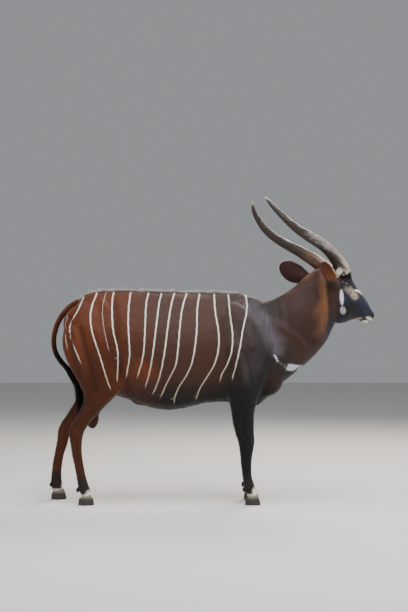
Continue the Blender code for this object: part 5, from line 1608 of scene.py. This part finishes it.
@dataclass
class Coat:
    """Collects tufts of solid mesh in pieces."""

    name: str
    move: Vector
    finish: "Finish"
    rng: np.random.Generator
    parts: list = field(default_factory=list)

    def add(self, roots: np.ndarray, ways: np.ndarray, ups: np.ndarray, cut: Cut, colours: np.ndarray,
            tips: np.ndarray | None = None, spread: float = 0.25, scale: np.ndarray | None = None,
            painted: bool = False, hug: float = 0.65) -> None:
        """Grow one tuft from each root.

        Args:
            roots: Places on the skin.
            ways: Directions of growth.
            ups: Skin normals.
            cut: The tuft's shape.
            colours: Colour at each root.
            tips: Colour at each tip, or the root's own.
            spread: How unlike the tufts are.
            scale: A size for each tuft.
            painted: Whether the markings run over the tufts, so that each place has its own colour.
            hug: How far the tufts are shaded as the skin below them.
        """
        count = len(roots)
        if count == 0:
            return
        rng = self.rng
        ups = ups / np.linalg.norm(ups, axis=1, keepdims=True)
        ways = ways + rng.normal(0, spread * 0.5, (count, 3))
        ways = ways - ups * (ways * ups).sum(1, keepdims=True)
        ways /= np.maximum(np.linalg.norm(ways, axis=1, keepdims=True), 1e-9)
        across = np.cross(ways, ups)
        size = np.ones(count) if scale is None else scale
        size = (size * rng.uniform(1 - spread, 1 + spread, count))[:, None]
        rise = (cut.rise * rng.uniform(0.7, 1.25, count))[:, None] * size
        sway = rng.normal(0, cut.length * 0.06, (count, 1)) * across
        stray = rng.normal(0, 0.0009, (count, 3))
        rows = []
        shares = []
        worn = []
        levels = [0.0] + [(i + 1) / (cut.steps + 0.6) for i in range(cut.steps)]
        for i, t in enumerate(levels):
            lift = rise * (1 - (1 - t) ** 2) - 0.0012 * (t == 0)
            middle = roots + ways * cut.length * size * t + ups * lift + sway * t * t
            if painted:
                worn += [tone(middle + stray, ups)] * cut.sides
            belly = 0.7 + 0.3 * math.sin(math.pi * min(t * 1.3 + 0.2, 1))
            wide = cut.width * size * belly * (1 - 0.55 * t)
            deep = cut.thick * size * (1 - 0.5 * t)
            for k in range(cut.sides):
                angle = 2 * math.pi * (k + 0.25) / cut.sides
                aside, above = math.cos(angle) / 2, math.sin(angle) / 2
                rows.append(middle + across * wide * aside + ups * deep * above)
                shares.append((t, math.cos(angle)))
        rows.append(roots + ways * cut.length * size + ups * rise + sway)
        shares.append((1.0, 0.0))
        points = np.stack(rows, 1)
        sides = cut.sides
        faces = [tuple(range(sides))]
        for r in range(len(levels) - 1):
            for k in range(sides):
                j = (k + 1) % sides
                faces.append((r * sides + j, r * sides + k, (r + 1) * sides + k, (r + 1) * sides + j))
        top = (len(levels) - 1) * sides
        for k in range(sides):
            faces.append((top + (k + 1) % sides, top + k, top + sides))
        shares = np.array(shares)
        # Each tuft is darker at its root than at its tip, as painted shade among the hair, and its tone
        # varies at random.
        shade = (0.92 + 0.10 * shares[:, 0])[None, :, None] * rng.uniform(0.90, 1.12, (count, 1, 1))
        ends = colours if tips is None else tips
        blend = (shares[:, 0] ** 1.2)[None, :, None]
        paint = colours[:, None, :] * (1 - blend) + ends[:, None, :] * blend
        if painted:
            paint = np.stack(worn + [tone(rows[-1] + stray, ups)], 1)
        self.parts.append((points, faces, paint * shade, shares, roots, ups * hug))

    def build(self) -> None:
        """Turn the gathered tufts into pieces of under 200,000 triangles each."""
        number = 0
        for points, faces, paint, shares, roots, ups in self.parts:
            per = sum(len(f) - 2 for f in faces)
            block = PIECE_TRIANGLES // per
            for start in range(0, len(points), block):
                part = slice(start, start + block)
                name = f"{self.name}_{number:02d}"
                self.piece(name, points[part], faces, paint[part], shares, roots[part], ups[part])
                number += 1
        self.parts = []

    def piece(self, name: str, points: np.ndarray, faces: list, paint: np.ndarray, shares: np.ndarray,
              roots: np.ndarray, ups: np.ndarray) -> None:
        """Make one mesh of many tufts, with its colours, its bake map and shading close to the skin's."""
        count, size = points.shape[:2]
        loops = np.concatenate([np.array(f) for f in faces])
        total = len(loops)
        starts = np.cumsum([0] + [len(f) for f in faces])[:-1]
        every = (loops[None, :] + (np.arange(count) * size)[:, None]).ravel()
        first = (starts[None, :] + (np.arange(count) * total)[:, None]).ravel()
        data = bpy.data.meshes.new(name)
        data.vertices.add(count * size)
        data.vertices.foreach_set("co", points.astype(np.float32).ravel())
        data.loops.add(count * total)
        data.loops.foreach_set("vertex_index", every.astype(np.int32))
        data.polygons.add(count * len(faces))
        data.polygons.foreach_set("loop_start", first.astype(np.int32))
        data.update(calc_edges=True)
        data.validate()
        middle = atlas(roots)
        patch = np.stack([shares[:, 0], shares[:, 1] * 0.5 + 0.5], 1) * 0.003
        flat = (middle[:, None, :] + patch[None, :, :]).reshape(-1, 2)
        held = data.uv_layers.new(name="OFBake")
        held.data.foreach_set("uv", flat[every].astype(np.float32).ravel())
        finished(linked(name, data), self.finish, self.move, (), paint.reshape(-1, 3))
        soft = normals(data)
        soft = soft * (1 - np.linalg.norm(ups[0])) + np.repeat(ups, size, 0)
        soft /= np.maximum(np.linalg.norm(soft, axis=1, keepdims=True), 1e-9)
        data.normals_split_custom_set_from_vertices(soft.tolist())


def atlas(points: np.ndarray) -> np.ndarray:
    """A flat unwrap of the body's own shape: trunk, neck, head and each leg on its own field."""
    x, y, z = points[:, 0], points[:, 1], points[:, 2]
    turn = np.arctan2(y, 0.90 - z) / (2 * math.pi) + 0.5
    spots = np.stack([(x + 1.0) / 1.5, turn], 1) * (0.60, 0.49) + (0.005, 0.005)
    local = head_local(points)
    around = np.arctan2(local[:, 1], -0.07 - local[:, 2]) / (2 * math.pi) + 0.5
    face = np.stack([np.clip((local[:, 0] + 0.35) / 0.66, 0, 1), around], 1) * (0.33, 0.49) + (0.645, 0.005)
    ahead = (x > 0.42)[:, None]
    spots = np.where(ahead, face, spots)
    low = z < 0.62
    for row, hind in enumerate((True, False)):
        for column, left in enumerate((False, True)):
            pick = low & ((x < -0.35) == hind) & ((y > 0) == left) & ((x < -0.35) | (x > 0.10))
            centre_x = -0.70 if hind else 0.25
            centre_y = 0.135 if left else -0.135
            angle = np.arctan2(y - centre_y, x - centre_x) / (2 * math.pi) + 0.5
            field_ = np.stack([z / 0.63, angle], 1) * (0.47, 0.20) + (0.01 + 0.49 * column, 0.52 + 0.22 * row)
            spots = np.where(pick[:, None], field_, spots)
    return np.clip(spots, 0.0, 0.996)


@dataclass
class Meadow:
    """Draws roots on the skin and grows each kind of hair there."""

    skin: Skin
    rng: np.random.Generator

    def __post_init__(self) -> None:
        """Read the skin's triangles once."""
        data = self.skin.item.data
        self.points = self.skin.points
        held = np.empty(len(data.polygons) * 3, np.int32)
        data.polygons.foreach_get("vertices", held)
        self.faces = held.reshape(-1, 3)
        corner = self.points[self.faces]
        cross = np.cross(corner[:, 1] - corner[:, 0], corner[:, 2] - corner[:, 0])
        self.areas = np.linalg.norm(cross, axis=1) / 2
        self.ways = cross / np.maximum(self.areas[:, None] * 2, 1e-12)
        self.middles = corner.mean(1)
        self.vertex_ways = normals(data)

    def roots(self, density: np.ndarray) -> tuple:
        """Places and normals on the skin, with so many to a square metre on each triangle."""
        wanted = self.areas * density
        counts = np.floor(wanted + self.rng.random(len(wanted))).astype(int)
        pick = np.repeat(np.arange(len(counts)), counts)
        a, b = self.rng.random(len(pick)), self.rng.random(len(pick))
        flip = a + b > 1
        a, b = np.where(flip, 1 - a, a), np.where(flip, 1 - b, b)
        weights = np.stack([1 - a - b, a, b], 1)[:, :, None]
        places = (self.points[self.faces[pick]] * weights).sum(1)
        ways = (self.vertex_ways[self.faces[pick]] * weights).sum(1)
        ways /= np.maximum(np.linalg.norm(ways, axis=1, keepdims=True), 1e-9)
        return places, ways

    def clear_roots(self, density: np.ndarray) -> tuple:
        """Places and normals as above, where hair grows."""
        places, ways = self.roots(density)
        keep = self.clear(places)
        return places[keep], ways[keep]

    def clear(self, places: np.ndarray) -> np.ndarray:
        """Which places carry hair: not the eye openings, the nose pad, the mouth, horns or soles."""
        keep = np.ones(len(places), bool)
        for sign in (-1, 1):
            local = (places - np.array(eye_place(sign))) @ np.array(eye_turn(sign))
            keep &= ~((np.hypot(local[:, 1] / 0.030, local[:, 2] / 0.022) < 1) & (local[:, 0] > -0.01))
            axis = [row[:3] for row in horn_rows(sign, 1)[:2]]
            keep &= line_distance(places, axis) > 0.0425
        keep &= blob(chart(places), (373.6, 314.0), (2.8, 4.6), -8, 0.1) * headness(places) < 0.5
        for line in self.skin.found.values():
            keep &= line_distance(places, line) > 0.0034
        keep &= places[:, 2] > 0.050
        return keep


def short_coat(meadow: Meadow, coat: Coat, many: float) -> None:
    """Short flat tufts over the whole skin, smaller on the face and the feet."""
    middles = meadow.middles
    head = headness(middles)
    foot = 1 - smooth(0.10, 0.50, middles[:, 2])
    density = (BODY_TUFTS * (1 - head) * (1 - foot) + FACE_TUFTS * head + FOOT_TUFTS * foot) * many
    density *= 1 + 0.5 * smooth(0.5, 0.9, np.abs(meadow.ways[:, 2]))
    places, ups = meadow.clear_roots(density)
    head = headness(places)
    foot = 1 - smooth(0.10, 0.50, places[:, 2])
    nose = smooth(0.10, 0.22, head_local(places)[:, 0]) * head
    scale = 1 - 0.45 * head - 0.25 * nose - 0.45 * foot * (1 - head)
    coat.add(places, lie(places), ups, SHORT_HAIR, np.zeros((len(places), 3)),
             spread=0.22, scale=scale, painted=True)


def edge_coat(meadow: Meadow, coat: Coat, many: float) -> None:
    """Longer hair where the outline shows it: throat, brisket, belly line, thigh and leg backs."""
    middles, ways = meadow.middles, meadow.ways
    below = smooth(-0.55, -0.85, ways[:, 2]) * smooth(0.45, 0.52, middles[:, 2])
    throat = below * smooth(0.30, 0.40, middles[:, 0]) * (1 - headness(middles))
    belly = below * (1 - smooth(0.30, 0.40, middles[:, 0]))
    height = middles[:, 2]
    back = smooth(-0.45, -0.8, ways[:, 0]) * smooth(0.72, 0.62, height) * smooth(0.10, 0.16, height)
    ring = blob(middles[:, [2, 2]], (0.062, 0.062), (0.012, 0.012), 0, 0.6)
    density = (7000 * throat + 5200 * belly + 12000 * back + 26000 * ring) * many
    places, ups = meadow.clear_roots(density)
    scale = 1 - 0.55 * (1 - smooth(0.07, 0.30, places[:, 2]))
    coat.add(places, lie(places), ups, EDGE_HAIR, tone(places, ups), spread=0.3,
             scale=scale)


def collar_coat(meadow: Meadow, coat: Coat) -> None:
    """Short hair that stands up round the foot of each horn."""
    for sign in (-1, 1):
        rows = horn_rows(sign, 1)
        axis = [row[:3] for row in rows[:2]]
        near = line_distance(meadow.middles, axis)
        places, ups = meadow.roots(900000 * (near < 0.0520) * (near > 0.0400))
        keep = line_distance(places, axis) > 0.0405
        places, ups = places[keep], ups[keep]
        way = Vector(rows[1][:3]) - Vector(rows[0][:3])
        ways = spread_out(way.normalized(), places) + ups * 0.25
        coat.add(places, ways, ups, COLLAR_HAIR, tone(places, ups), spread=0.3)


def crest_coat(meadow: Meadow, coat: Coat) -> None:
    """The white bristles that stand along the back from the withers to the rump."""
    rng = coat.rng
    line = np.array(list(zip(CREST[0::2], CREST[1::2])))
    tree = tree_of(meadow.skin.item.data)
    roots, ups, ways, scale = [], [], [], []
    waves = np.linspace(-1.2, 0.6, 140), rng.uniform(0.62, 1.25, 140)
    for _ in range(CREST_TUFTS):
        share = rng.random()
        x = line[0, 0] + 0.02 + (line[-2, 0] - line[0, 0]) * share
        y = rng.normal(0, 0.0058)
        spot, normal = tree.ray_cast(Vector((x, y, 2.0)), Vector((0, 0, -1)))[:2]
        if spot is None:
            continue
        roots.append(tuple(spot))
        ups.append(tuple(normal))
        ways.append((-1.0 + rng.normal(0, 0.25), y * 22 + rng.normal(0, 0.16), 0.0))
        clump = np.interp(x, waves[0], waves[1])
        scale.append((1 - 0.35 * abs(y) / 0.012) * clump)
    roots, ups = np.array(roots), np.array(ups)
    coat.add(roots, np.array(ways), ups, CREST_HAIR, base_tone(roots) * 0.9,
             spread_out(Hue.CREAM.light, roots), 0.40, np.maximum(np.array(scale), 0.35))


def ear_coat(ears: list, coat: Coat) -> None:
    """Pale fringes along each ear's edges and long soft hair inside it."""
    rng = coat.rng
    for ear in ears:
        along, opening = ear_frame(ear.which)[1:3]
        roots, ways, ups, scale = [], [], [], []
        for _ in range(FRINGE_TUFTS):
            pick = rng.random() * (len(ear.rims) - 8) + 3
            index = int(pick)
            part = pick - index
            side = 0 if rng.random() < 0.5 else 1
            spot = ear.rims[index][side].lerp(ear.rims[index + 1][side], part)
            other = ear.rims[index][1 - side].lerp(ear.rims[index + 1][1 - side], part)
            inward = (other - spot).normalized()
            roots.append(tuple(spot - inward * 0.0006))
            way = inward * rng.uniform(0.1, 0.9) + along * rng.uniform(0.5, 1.0)
            ways.append(tuple(way + opening * rng.uniform(0.0, 0.5)))
            ups.append(tuple((opening - inward * 0.4).normalized()))
            scale.append(0.55 + 0.75 * (1 - abs(ear.rims[index][2] - 0.35)))
        rim = [max(row[:2], key=lambda spot: spot.x) for row in ear.rims if 0.46 < row[2] < 0.64]
        for _ in range(STANDING_TUFTS if ear.which == "near" else 0):
            spot = rim[rng.integers(len(rim))]
            roots.append(tuple(spot + Vector(rng.normal(0, 0.0022, 3))))
            ways.append(tuple(Vector((0.38, -0.10, 0.90)) + Vector(rng.normal(0, 0.12, 3))))
            ups.append((0.0, -1.0, 0.1))
            scale.append(rng.uniform(1.2, 2.1))
        coat.add(np.array(roots), np.array(ways), np.array(ups), EAR_FRINGE,
                 spread_out(Hue.BEIGE.light, roots), spread_out(Hue.CREAM.light, roots), 0.35,
                 np.array(scale), hug=0.1)
        places, surface, inner, shares = ear.surface
        outer = np.nonzero((inner < 0.5) & (shares > 0.02) & (shares < 0.97))[0]
        pick = rng.choice(outer, EAR_TUFTS)
        jitter = rng.normal(0, 0.0012, (len(pick), 3))
        coat.add(places[pick] + jitter, spread_out(along, pick), surface[pick],
                 EAR_HAIR, ear.tint(shares[pick]), spread=0.3)
        inside = np.nonzero((inner > 0.5) & (shares > 0.10) & (shares < 0.85))[0]
        pick = rng.choice(inside, EAR_INSIDE_TUFTS)
        coat.add(places[pick], spread_out(along * 0.8 + opening * 0.5, pick), surface[pick],
                 EAR_INSIDE, spread_out(Hue.BEIGE.light, pick), spread=0.4)


def tail_coat(tail: Tail, coat: Coat, many: float) -> None:
    """Hair along the tail, closing to a long dark tuft."""
    rng = coat.rng
    rows = np.array(tail.rows)
    line = rows[:, [0, 2, 1]]
    total = len(rows) - 1
    for count, low, high, cut, tuft in (
        (int(5200 * many), 0.0, 0.80, TAIL_HAIR, False),
        (int(1500 * many), 0.66, 0.93, TAIL_TUFT, True),
    ):
        spot = rng.uniform(low, high, count) * total
        index = np.minimum(spot.astype(int), total - 1)
        part = (spot - index)[:, None]
        middle = line[index] * (1 - part) + line[index + 1] * part
        radius = rows[index, 3] * (1 - part[:, 0]) + rows[index + 1, 3] * part[:, 0]
        thin = 0.0030 + 0.009 * smooth(0.60, 0.80, spot / (total + 1))
        along = line[index + 1] - line[index]
        along /= np.linalg.norm(along, axis=1, keepdims=True)
        side = np.cross(along, np.array([0.0, 1.0, 0.0]))
        side /= np.linalg.norm(side, axis=1, keepdims=True)
        other = np.cross(along, side)
        angle = rng.uniform(0, 2 * math.pi, count)
        out = side * np.cos(angle)[:, None] + other * np.sin(angle)[:, None]
        roots = middle + out * np.maximum(radius - thin, 0.004)[:, None]
        colours = tail.tint(roots)
        ahead = along.copy()
        if tuft:
            ahead = ahead + np.array([0.06, 0, -0.55]) - out * 0.05
            colours = colours * 0.6
        coat.add(roots, ahead, out, cut, colours, spread=0.2, hug=0.4)


def lash_coat(eyes: list, coat: Coat) -> None:
    """Short dark lashes along each upper lid."""
    rng = coat.rng
    for eye in eyes:
        way = np.array(eye_way(eye.sign))
        turn = np.array(eye_turn(eye.sign))
        centre = np.array(eye_place(eye.sign))
        edge = np.array(eye.edge)
        local = (edge - centre) @ turn
        top = np.nonzero(local[:, 2] > 0.001)[0]
        if local[top].mean(0)[2] <= 0:
            continue
        pick = rng.choice(top, LASHES)
        out = edge[pick] - centre
        out /= np.linalg.norm(out, axis=1, keepdims=True)
        ways = out * 0.8 + way * 0.7 + turn[:, 2] * 0.25
        coat.add(edge[pick], ways, spread_out(turn[:, 2], pick), LASH,
                 spread_out(Hue.PAD.light, pick), spread=0.25)


class Wire:
    """A value or colour that runs through a material's nodes, used in plain expressions."""

    def __init__(self, tree: bpy.types.NodeTree, socket: bpy.types.NodeSocket) -> None:
        """Hold one socket of a node tree."""
        self.tree = tree
        self.socket = socket

    def feed(self, socket: bpy.types.NodeSocket, value: object) -> None:
        """Connect a wire, or set a plain value."""
        if isinstance(value, Wire):
            self.tree.links.new(value.socket, socket)
        else:
            socket.default_value = value

    def math(self, kind: str, *values: object) -> "Wire":
        """Any operation of the math node on plain values and wires."""
        made = self.tree.nodes.new("ShaderNodeMath")
        made.operation = kind
        for socket, value in zip(made.inputs, values):
            self.feed(socket, value)
        return Wire(self.tree, made.outputs[0])

    def node(self, kind: str, inputs: dict, out: object = 0, **settings: object) -> "Wire":
        """Any other node, with its inputs by name or number."""
        made = self.tree.nodes.new(kind)
        for key, value in settings.items():
            setattr(made, key, value)
        for key, value in inputs.items():
            self.feed(made.inputs[key], value)
        return Wire(self.tree, made.outputs[out])

    def __add__(self, other: object) -> "Wire":
        """Sum."""
        return self.math("ADD", self, other)

    __radd__ = __add__

    def __mul__(self, other: object) -> "Wire":
        """Product."""
        return self.math("MULTIPLY", self, other)

    __rmul__ = __mul__

    def __sub__(self, other: object) -> "Wire":
        """Difference."""
        return self.math("SUBTRACT", self, other)

    def __rsub__(self, other: object) -> "Wire":
        """Difference from a plain value."""
        return self.math("SUBTRACT", other, self)

    def __pow__(self, other: object) -> "Wire":
        """Power."""
        return self.math("POWER", self, other)

    def step(self, low: object, high: object) -> "Wire":
        """A soft step from 0 at low to 1 at high."""
        return self.node("ShaderNodeMapRange", {0: self, 1: low, 2: high}, 0, interpolation_type="SMOOTHSTEP")

    def axis(self, index: int) -> "Wire":
        """One number of three."""
        return self.node("ShaderNodeSeparateXYZ", {0: self}, index)

    def scaled(self, sizes: tuple) -> "Wire":
        """Three numbers, each times its own size."""
        return self.node("ShaderNodeVectorMath", {0: self, 1: sizes}, 0, operation="MULTIPLY")

    def noise(self, scale: float, detail: float = 2.0, rough_: float = 0.5) -> "Wire":
        """Soft noise at this place."""
        return self.node("ShaderNodeTexNoise", {"Vector": self, "Scale": scale, "Detail": detail,
                                                "Roughness": rough_}, 0)

    def times(self, shade: object) -> "Wire":
        """This colour, all of it lighter or darker."""
        return self.node("ShaderNodeVectorMath", {0: self, "Scale": shade}, 0, operation="SCALE")

    def mix(self, other: object, share: object) -> "Wire":
        """This colour, going to another by a share."""
        return self.node("ShaderNodeMix", {0: share, 6: self, 7: other}, 2, data_type="RGBA")


@dataclass
class Finish:
    """One material and the wires that feed its shader."""

    name: str
    roughness: float = 0.6
    specular: float = 0.4
    fur: bool = False

    def __post_init__(self) -> None:
        """Start the material with a plain shader."""
        self.material = bpy.data.materials.new(self.name)
        self.material.use_nodes = True
        self.tree = self.material.node_tree
        self.shader = self.tree.nodes["Principled BSDF"]
        self.shader.inputs["Roughness"].default_value = self.roughness
        self.shader.inputs["Specular IOR Level"].default_value = self.specular
        if self.fur:
            self.shader.inputs["Sheen Weight"].default_value = 0.10
            self.shader.inputs["Sheen Roughness"].default_value = 0.40
            self.shader.inputs["Sheen Tint"].default_value = (0.80, 0.86, 1.0, 1.0)
        self.place = self.source("ShaderNodeTexCoord", "Object")

    def source(self, kind: str, out: object, **settings: object) -> Wire:
        """A node that only gives values."""
        made = self.tree.nodes.new(kind)
        for key, value in settings.items():
            setattr(made, key, value)
        return Wire(self.tree, made.outputs[out])

    def attribute(self, name: str, out: str = "Vector") -> Wire:
        """A vertex attribute of the piece."""
        return self.source("ShaderNodeAttribute", out, attribute_name=name)

    def put(self, socket: str, wire: Wire) -> None:
        """Feed one socket of the shader."""
        self.tree.links.new(wire.socket, self.shader.inputs[socket])

    def bump(self, height: Wire, distance: float, strength: float = 1.0) -> None:
        """Give the shader a bumped normal."""
        self.put("Normal", height.node("ShaderNodeBump", {"Height": height, "Distance": distance,
                                                          "Strength": strength}, 0))


def hide_finish(name: str = "hide") -> Finish:
    """The coat's skin: colours, stripes with soft edges, hair strokes along the lie, and wet parts."""
    made = Finish(name, 0.55, 0.17, True)
    place = made.place
    tone_ = made.attribute("Tone", "Color")
    mark = made.attribute("Mark")
    part = made.attribute("Part")
    high = part.axis(1)
    wet = part.axis(0)
    across = place.scaled((62.0, 420.0, 260.0)).noise(1.0, 3.0)
    down = place.scaled((330.0, 330.0, 55.0)).noise(1.0, 3.0)
    x, y, z = place.axis(0), place.axis(1), place.axis(2)
    neck = {0: x * 36.0 + z * 46.0, 1: y * 380.0, 2: x * 220.0 - z * 175.0}
    neck = x.node("ShaderNodeCombineXYZ", neck).noise(1.0, 3.0)
    face = {0: z * 40.0 - x * 52.0, 1: y * 430.0, 2: x * 260.0 + z * 330.0}
    face = x.node("ShaderNodeCombineXYZ", face).noise(1.0, 3.0)
    ahead = x.step(0.22, 0.40) * high
    head = part.axis(2)
    strokes = across * high + down * (1.0 - high)
    strokes = strokes * (1.0 - ahead) + neck * ahead
    strokes = strokes * (1.0 - head) + face * head
    clumps = place.scaled((16.0, 60.0, 46.0)).noise(1.0, 2.0)
    wander = (strokes - 0.5) * 0.0034 + (clumps - 0.5) * 0.0012
    count = mark.axis(0)
    gap = count.math("ABSOLUTE", count - count.math("ROUND", count)) * mark.axis(1)
    strength = mark.axis(2)
    half = strength.math("MINIMUM", strength, 1.0) ** 0.5 * STRIPE_HALF
    inside = 1.0 - (gap + wander).step(half * 0.62, half * 1.28 + 0.00001)
    mask = inside * strength.math("MINIMUM", strength * 1.25, 1.0)
    low = place.axis(2).step(0.72, 0.92)
    pale = low.node("ShaderNodeMix", {0: low, 6: (*Hue.BEIGE.light, 1.0), 7: (*Hue.STRIPE.light, 1.0)}, 2,
                    data_type="RGBA")
    shade = (strokes - 0.5) * 0.42 + (clumps - 0.5) * 0.35 + 1.0
    made.put("Base Color", tone_.mix(pale, mask).times(shade))
    made.put("Roughness", 0.60 - wet * 0.22 + (strokes - 0.5) * 0.18)
    pores = place.node("ShaderNodeTexVoronoi", {"Vector": place, "Scale": 420.0}, 0)
    dry = 1.0 - wet
    made.bump(strokes * dry * 0.75 + clumps * dry * 0.9 + pores * wet * 0.4, 0.0016, 0.8)
    return made


def hair_finish(name: str = "hair") -> Finish:
    """The tufts: their own colour with fine strokes."""
    made = Finish(name, 0.52, 0.17, True)
    tone_ = made.attribute("Tone", "Color")
    fine = made.place.scaled((300.0, 300.0, 300.0)).noise(1.0, 2.0)
    shade = (fine - 0.5) * 0.5 + 1.0
    made.put("Base Color", tone_.times(shade))
    return made


def horn_finish() -> Finish:
    """Dull horn with growth ripples and long fibres."""
    made = Finish("horn", 0.38, 0.5)
    tone_ = made.attribute("Tone", "Color")
    along = made.attribute("Along")
    rings = (along.axis(0) * 150.0 + made.place.noise(30.0, 2.0) * 5.0)
    rings = rings.math("SINE", rings) * (1.0 - along.axis(0)) * 0.5
    fibres = along.scaled((9.0, 60.0, 60.0)).noise(1.0, 3.0)
    grain = made.place.noise(260.0, 3.0)
    shade = (grain - 0.5) * 0.5 + (fibres - 0.5) * 0.4 + 1.0
    made.put("Base Color", tone_.times(shade))
    made.put("Roughness", 0.50 + (grain - 0.5) * 0.16)
    fading = 1.0 - along.axis(0)
    made.bump(rings * 0.6 + fibres * fading * fading * 0.3 + grain * 0.1 * fading, 0.0006, 0.5)
    return made


def hoof_finish() -> Finish:
    """Worn hoof horn with fine growth rings."""
    made = Finish("hoof", 0.48, 0.45)
    tone_ = made.attribute("Tone", "Color")
    height = made.place.axis(2)
    rings = height * 900.0 + made.place.noise(40.0, 2.0) * 4.0
    rings = rings.math("SINE", rings)
    grain = made.place.scaled((420.0, 420.0, 60.0)).noise(1.0, 3.0)
    shade = (grain - 0.5) * 0.6 + rings * 0.05 + 1.0
    made.put("Base Color", tone_.times(shade))
    made.bump(rings * 0.4 + grain * 0.6, 0.0007, 0.6)
    return made


def eye_finish() -> Finish:
    """A dark wet eye with a level pupil in a brown iris."""
    made = Finish("eye", 0.10, 0.3)
    gaze = made.attribute("Gaze")
    y = gaze.axis(1)
    z = gaze.axis(2)
    out = y.math("SQRT", y * y + z * z)
    slot_ = y.math("SQRT", y * y * 0.40 + z * z * 2.2)
    spokes = gaze.scaled((900.0, 900.0, 900.0)).noise(1.0, 2.0)
    browns = {0: spokes, 6: (0.016, 0.007, 0.003, 1), 7: (0.050, 0.021, 0.009, 1)}
    iris = spokes.node("ShaderNodeMix", browns, 2, data_type="RGBA")
    white = iris.mix((0.06, 0.042, 0.034, 1), out.step(0.0126, 0.0142))
    pupil = white.mix((0.002, 0.002, 0.003, 1), 1.0 - slot_.step(0.0046, 0.0054))
    made.put("Base Color", pupil)
    made.shader.inputs["Coat Weight"].default_value = 0.2
    made.shader.inputs["Coat Roughness"].default_value = 0.05
    return made


@dataclass
class Studio:
    """A plain pale floor, soft lights and the photo's camera."""

    move: Vector

    def build(self) -> None:
        """Set the stage."""
        self.floor()
        self.lamp("top", (0.0, -1.4, 4.4), (0.0, 0, 0.9), 3.4, 260, (0.90, 0.95, 1.0))
        self.lamp("key", (1.6, -5.2, 4.0), (0.0, 0, 0.8), 2.4, 150, (1.0, 0.95, 0.88))
        self.lamp("rim", (1.5, 3.8, 4.2), (0.0, 0, 1.1), 2.2, 300, (1.0, 0.88, 0.72))
        self.lamp("fill", (-4.6, -4.0, 2.2), (-0.3, 0, 0.8), 3.2, 60, (1.0, 0.96, 0.92))
        self.lamp("nose", (5.0, -0.6, 2.6), (0.6, 0, 1.1), 2.6, 90, (0.92, 0.96, 1.0))
        world = bpy.data.worlds.new("studio")
        world.use_nodes = True
        back = world.node_tree.nodes["Background"]
        back.inputs[0].default_value = (0.74, 0.76, 0.80, 1)
        back.inputs[1].default_value = 0.40
        bpy.context.scene.world = world
        data = bpy.data.cameras.new("camera")
        data.sensor_width = 36.0
        data.lens = PHOTO_FOCAL * 36.0 / 612.0
        camera = linked("camera", data)
        camera.location = PHOTO_PLACE + Vector((self.move.x, self.move.y, 0))
        camera.rotation_euler = (math.pi / 2, 0, 0)
        bpy.context.scene.camera = camera

    def floor(self) -> None:
        """A wide pale floor under the hooves."""
        data = bpy.data.meshes.new("floor")
        work = bmesh.new()
        bmesh.ops.create_grid(work, x_segments=1, y_segments=1, size=14.0)
        work.to_mesh(data)
        work.free()
        item = linked("floor", data)
        item.location = (0, 0, -0.0008)
        look = Finish("floor", 0.75, 0.2)
        look.shader.inputs["Base Color"].default_value = (0.66, 0.65, 0.63, 1)
        data.materials.append(look.material)

    def lamp(self, name: str, place: tuple, aim: tuple, size: float, power: float, colour: tuple) -> None:
        """One square area light that looks at a point."""
        data = bpy.data.lights.new(name, "AREA")
        data.energy = power
        data.size = size
        data.color = colour
        item = linked(name, data)
        item.location = place
        item.rotation_euler = (Vector(aim) - Vector(place)).to_track_quat("-Z", "Y").to_euler()


def main() -> None:
    """Build every piece in order."""
    rng = np.random.default_rng(SEED)
    low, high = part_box("eye_right")
    move = (low + high) / 2 - eye_place(-1)
    log.info("moved by %s", tuple(round(c, 5) for c in move))
    many = 1.0

    hide = hide_finish()
    hair = hair_finish()
    skin = Skin(move)
    skin.build()
    eyes = [Eye(-1, "eye_right", move), Eye(1, "eye_left", move)]
    wet = eye_finish()
    for eye in eyes:
        eye.ball(wet)
        eye.lids(skin, hide)
    ears = [Ear("near", "ear_right", move), Ear("far", "ear_left", move)]
    for ear in ears:
        ear.build(hide)
    horn = horn_finish()
    for sign, name in ((-1, "horn_right"), (1, "horn_left")):
        Horn(sign, name, move).build(horn)
    claw = hoof_finish()
    for name in sorted(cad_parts):
        if name.startswith("hoof"):
            Hoof(name).build(claw)
    tail = Tail(move)
    tail.build(hide)

    meadow = Meadow(skin, rng)
    coat = Coat("coat", move, hair, rng)
    short_coat(meadow, coat, many)
    edge_coat(meadow, coat, many)
    collar_coat(meadow, coat)
    crest_coat(meadow, coat)
    ear_coat(ears, coat)
    tail_coat(tail, coat, 1.0)
    lash_coat(eyes, coat)
    coat.build()
    skin.dress(hide)
    Studio(move).build()


if __name__ == "__main__":
    main()
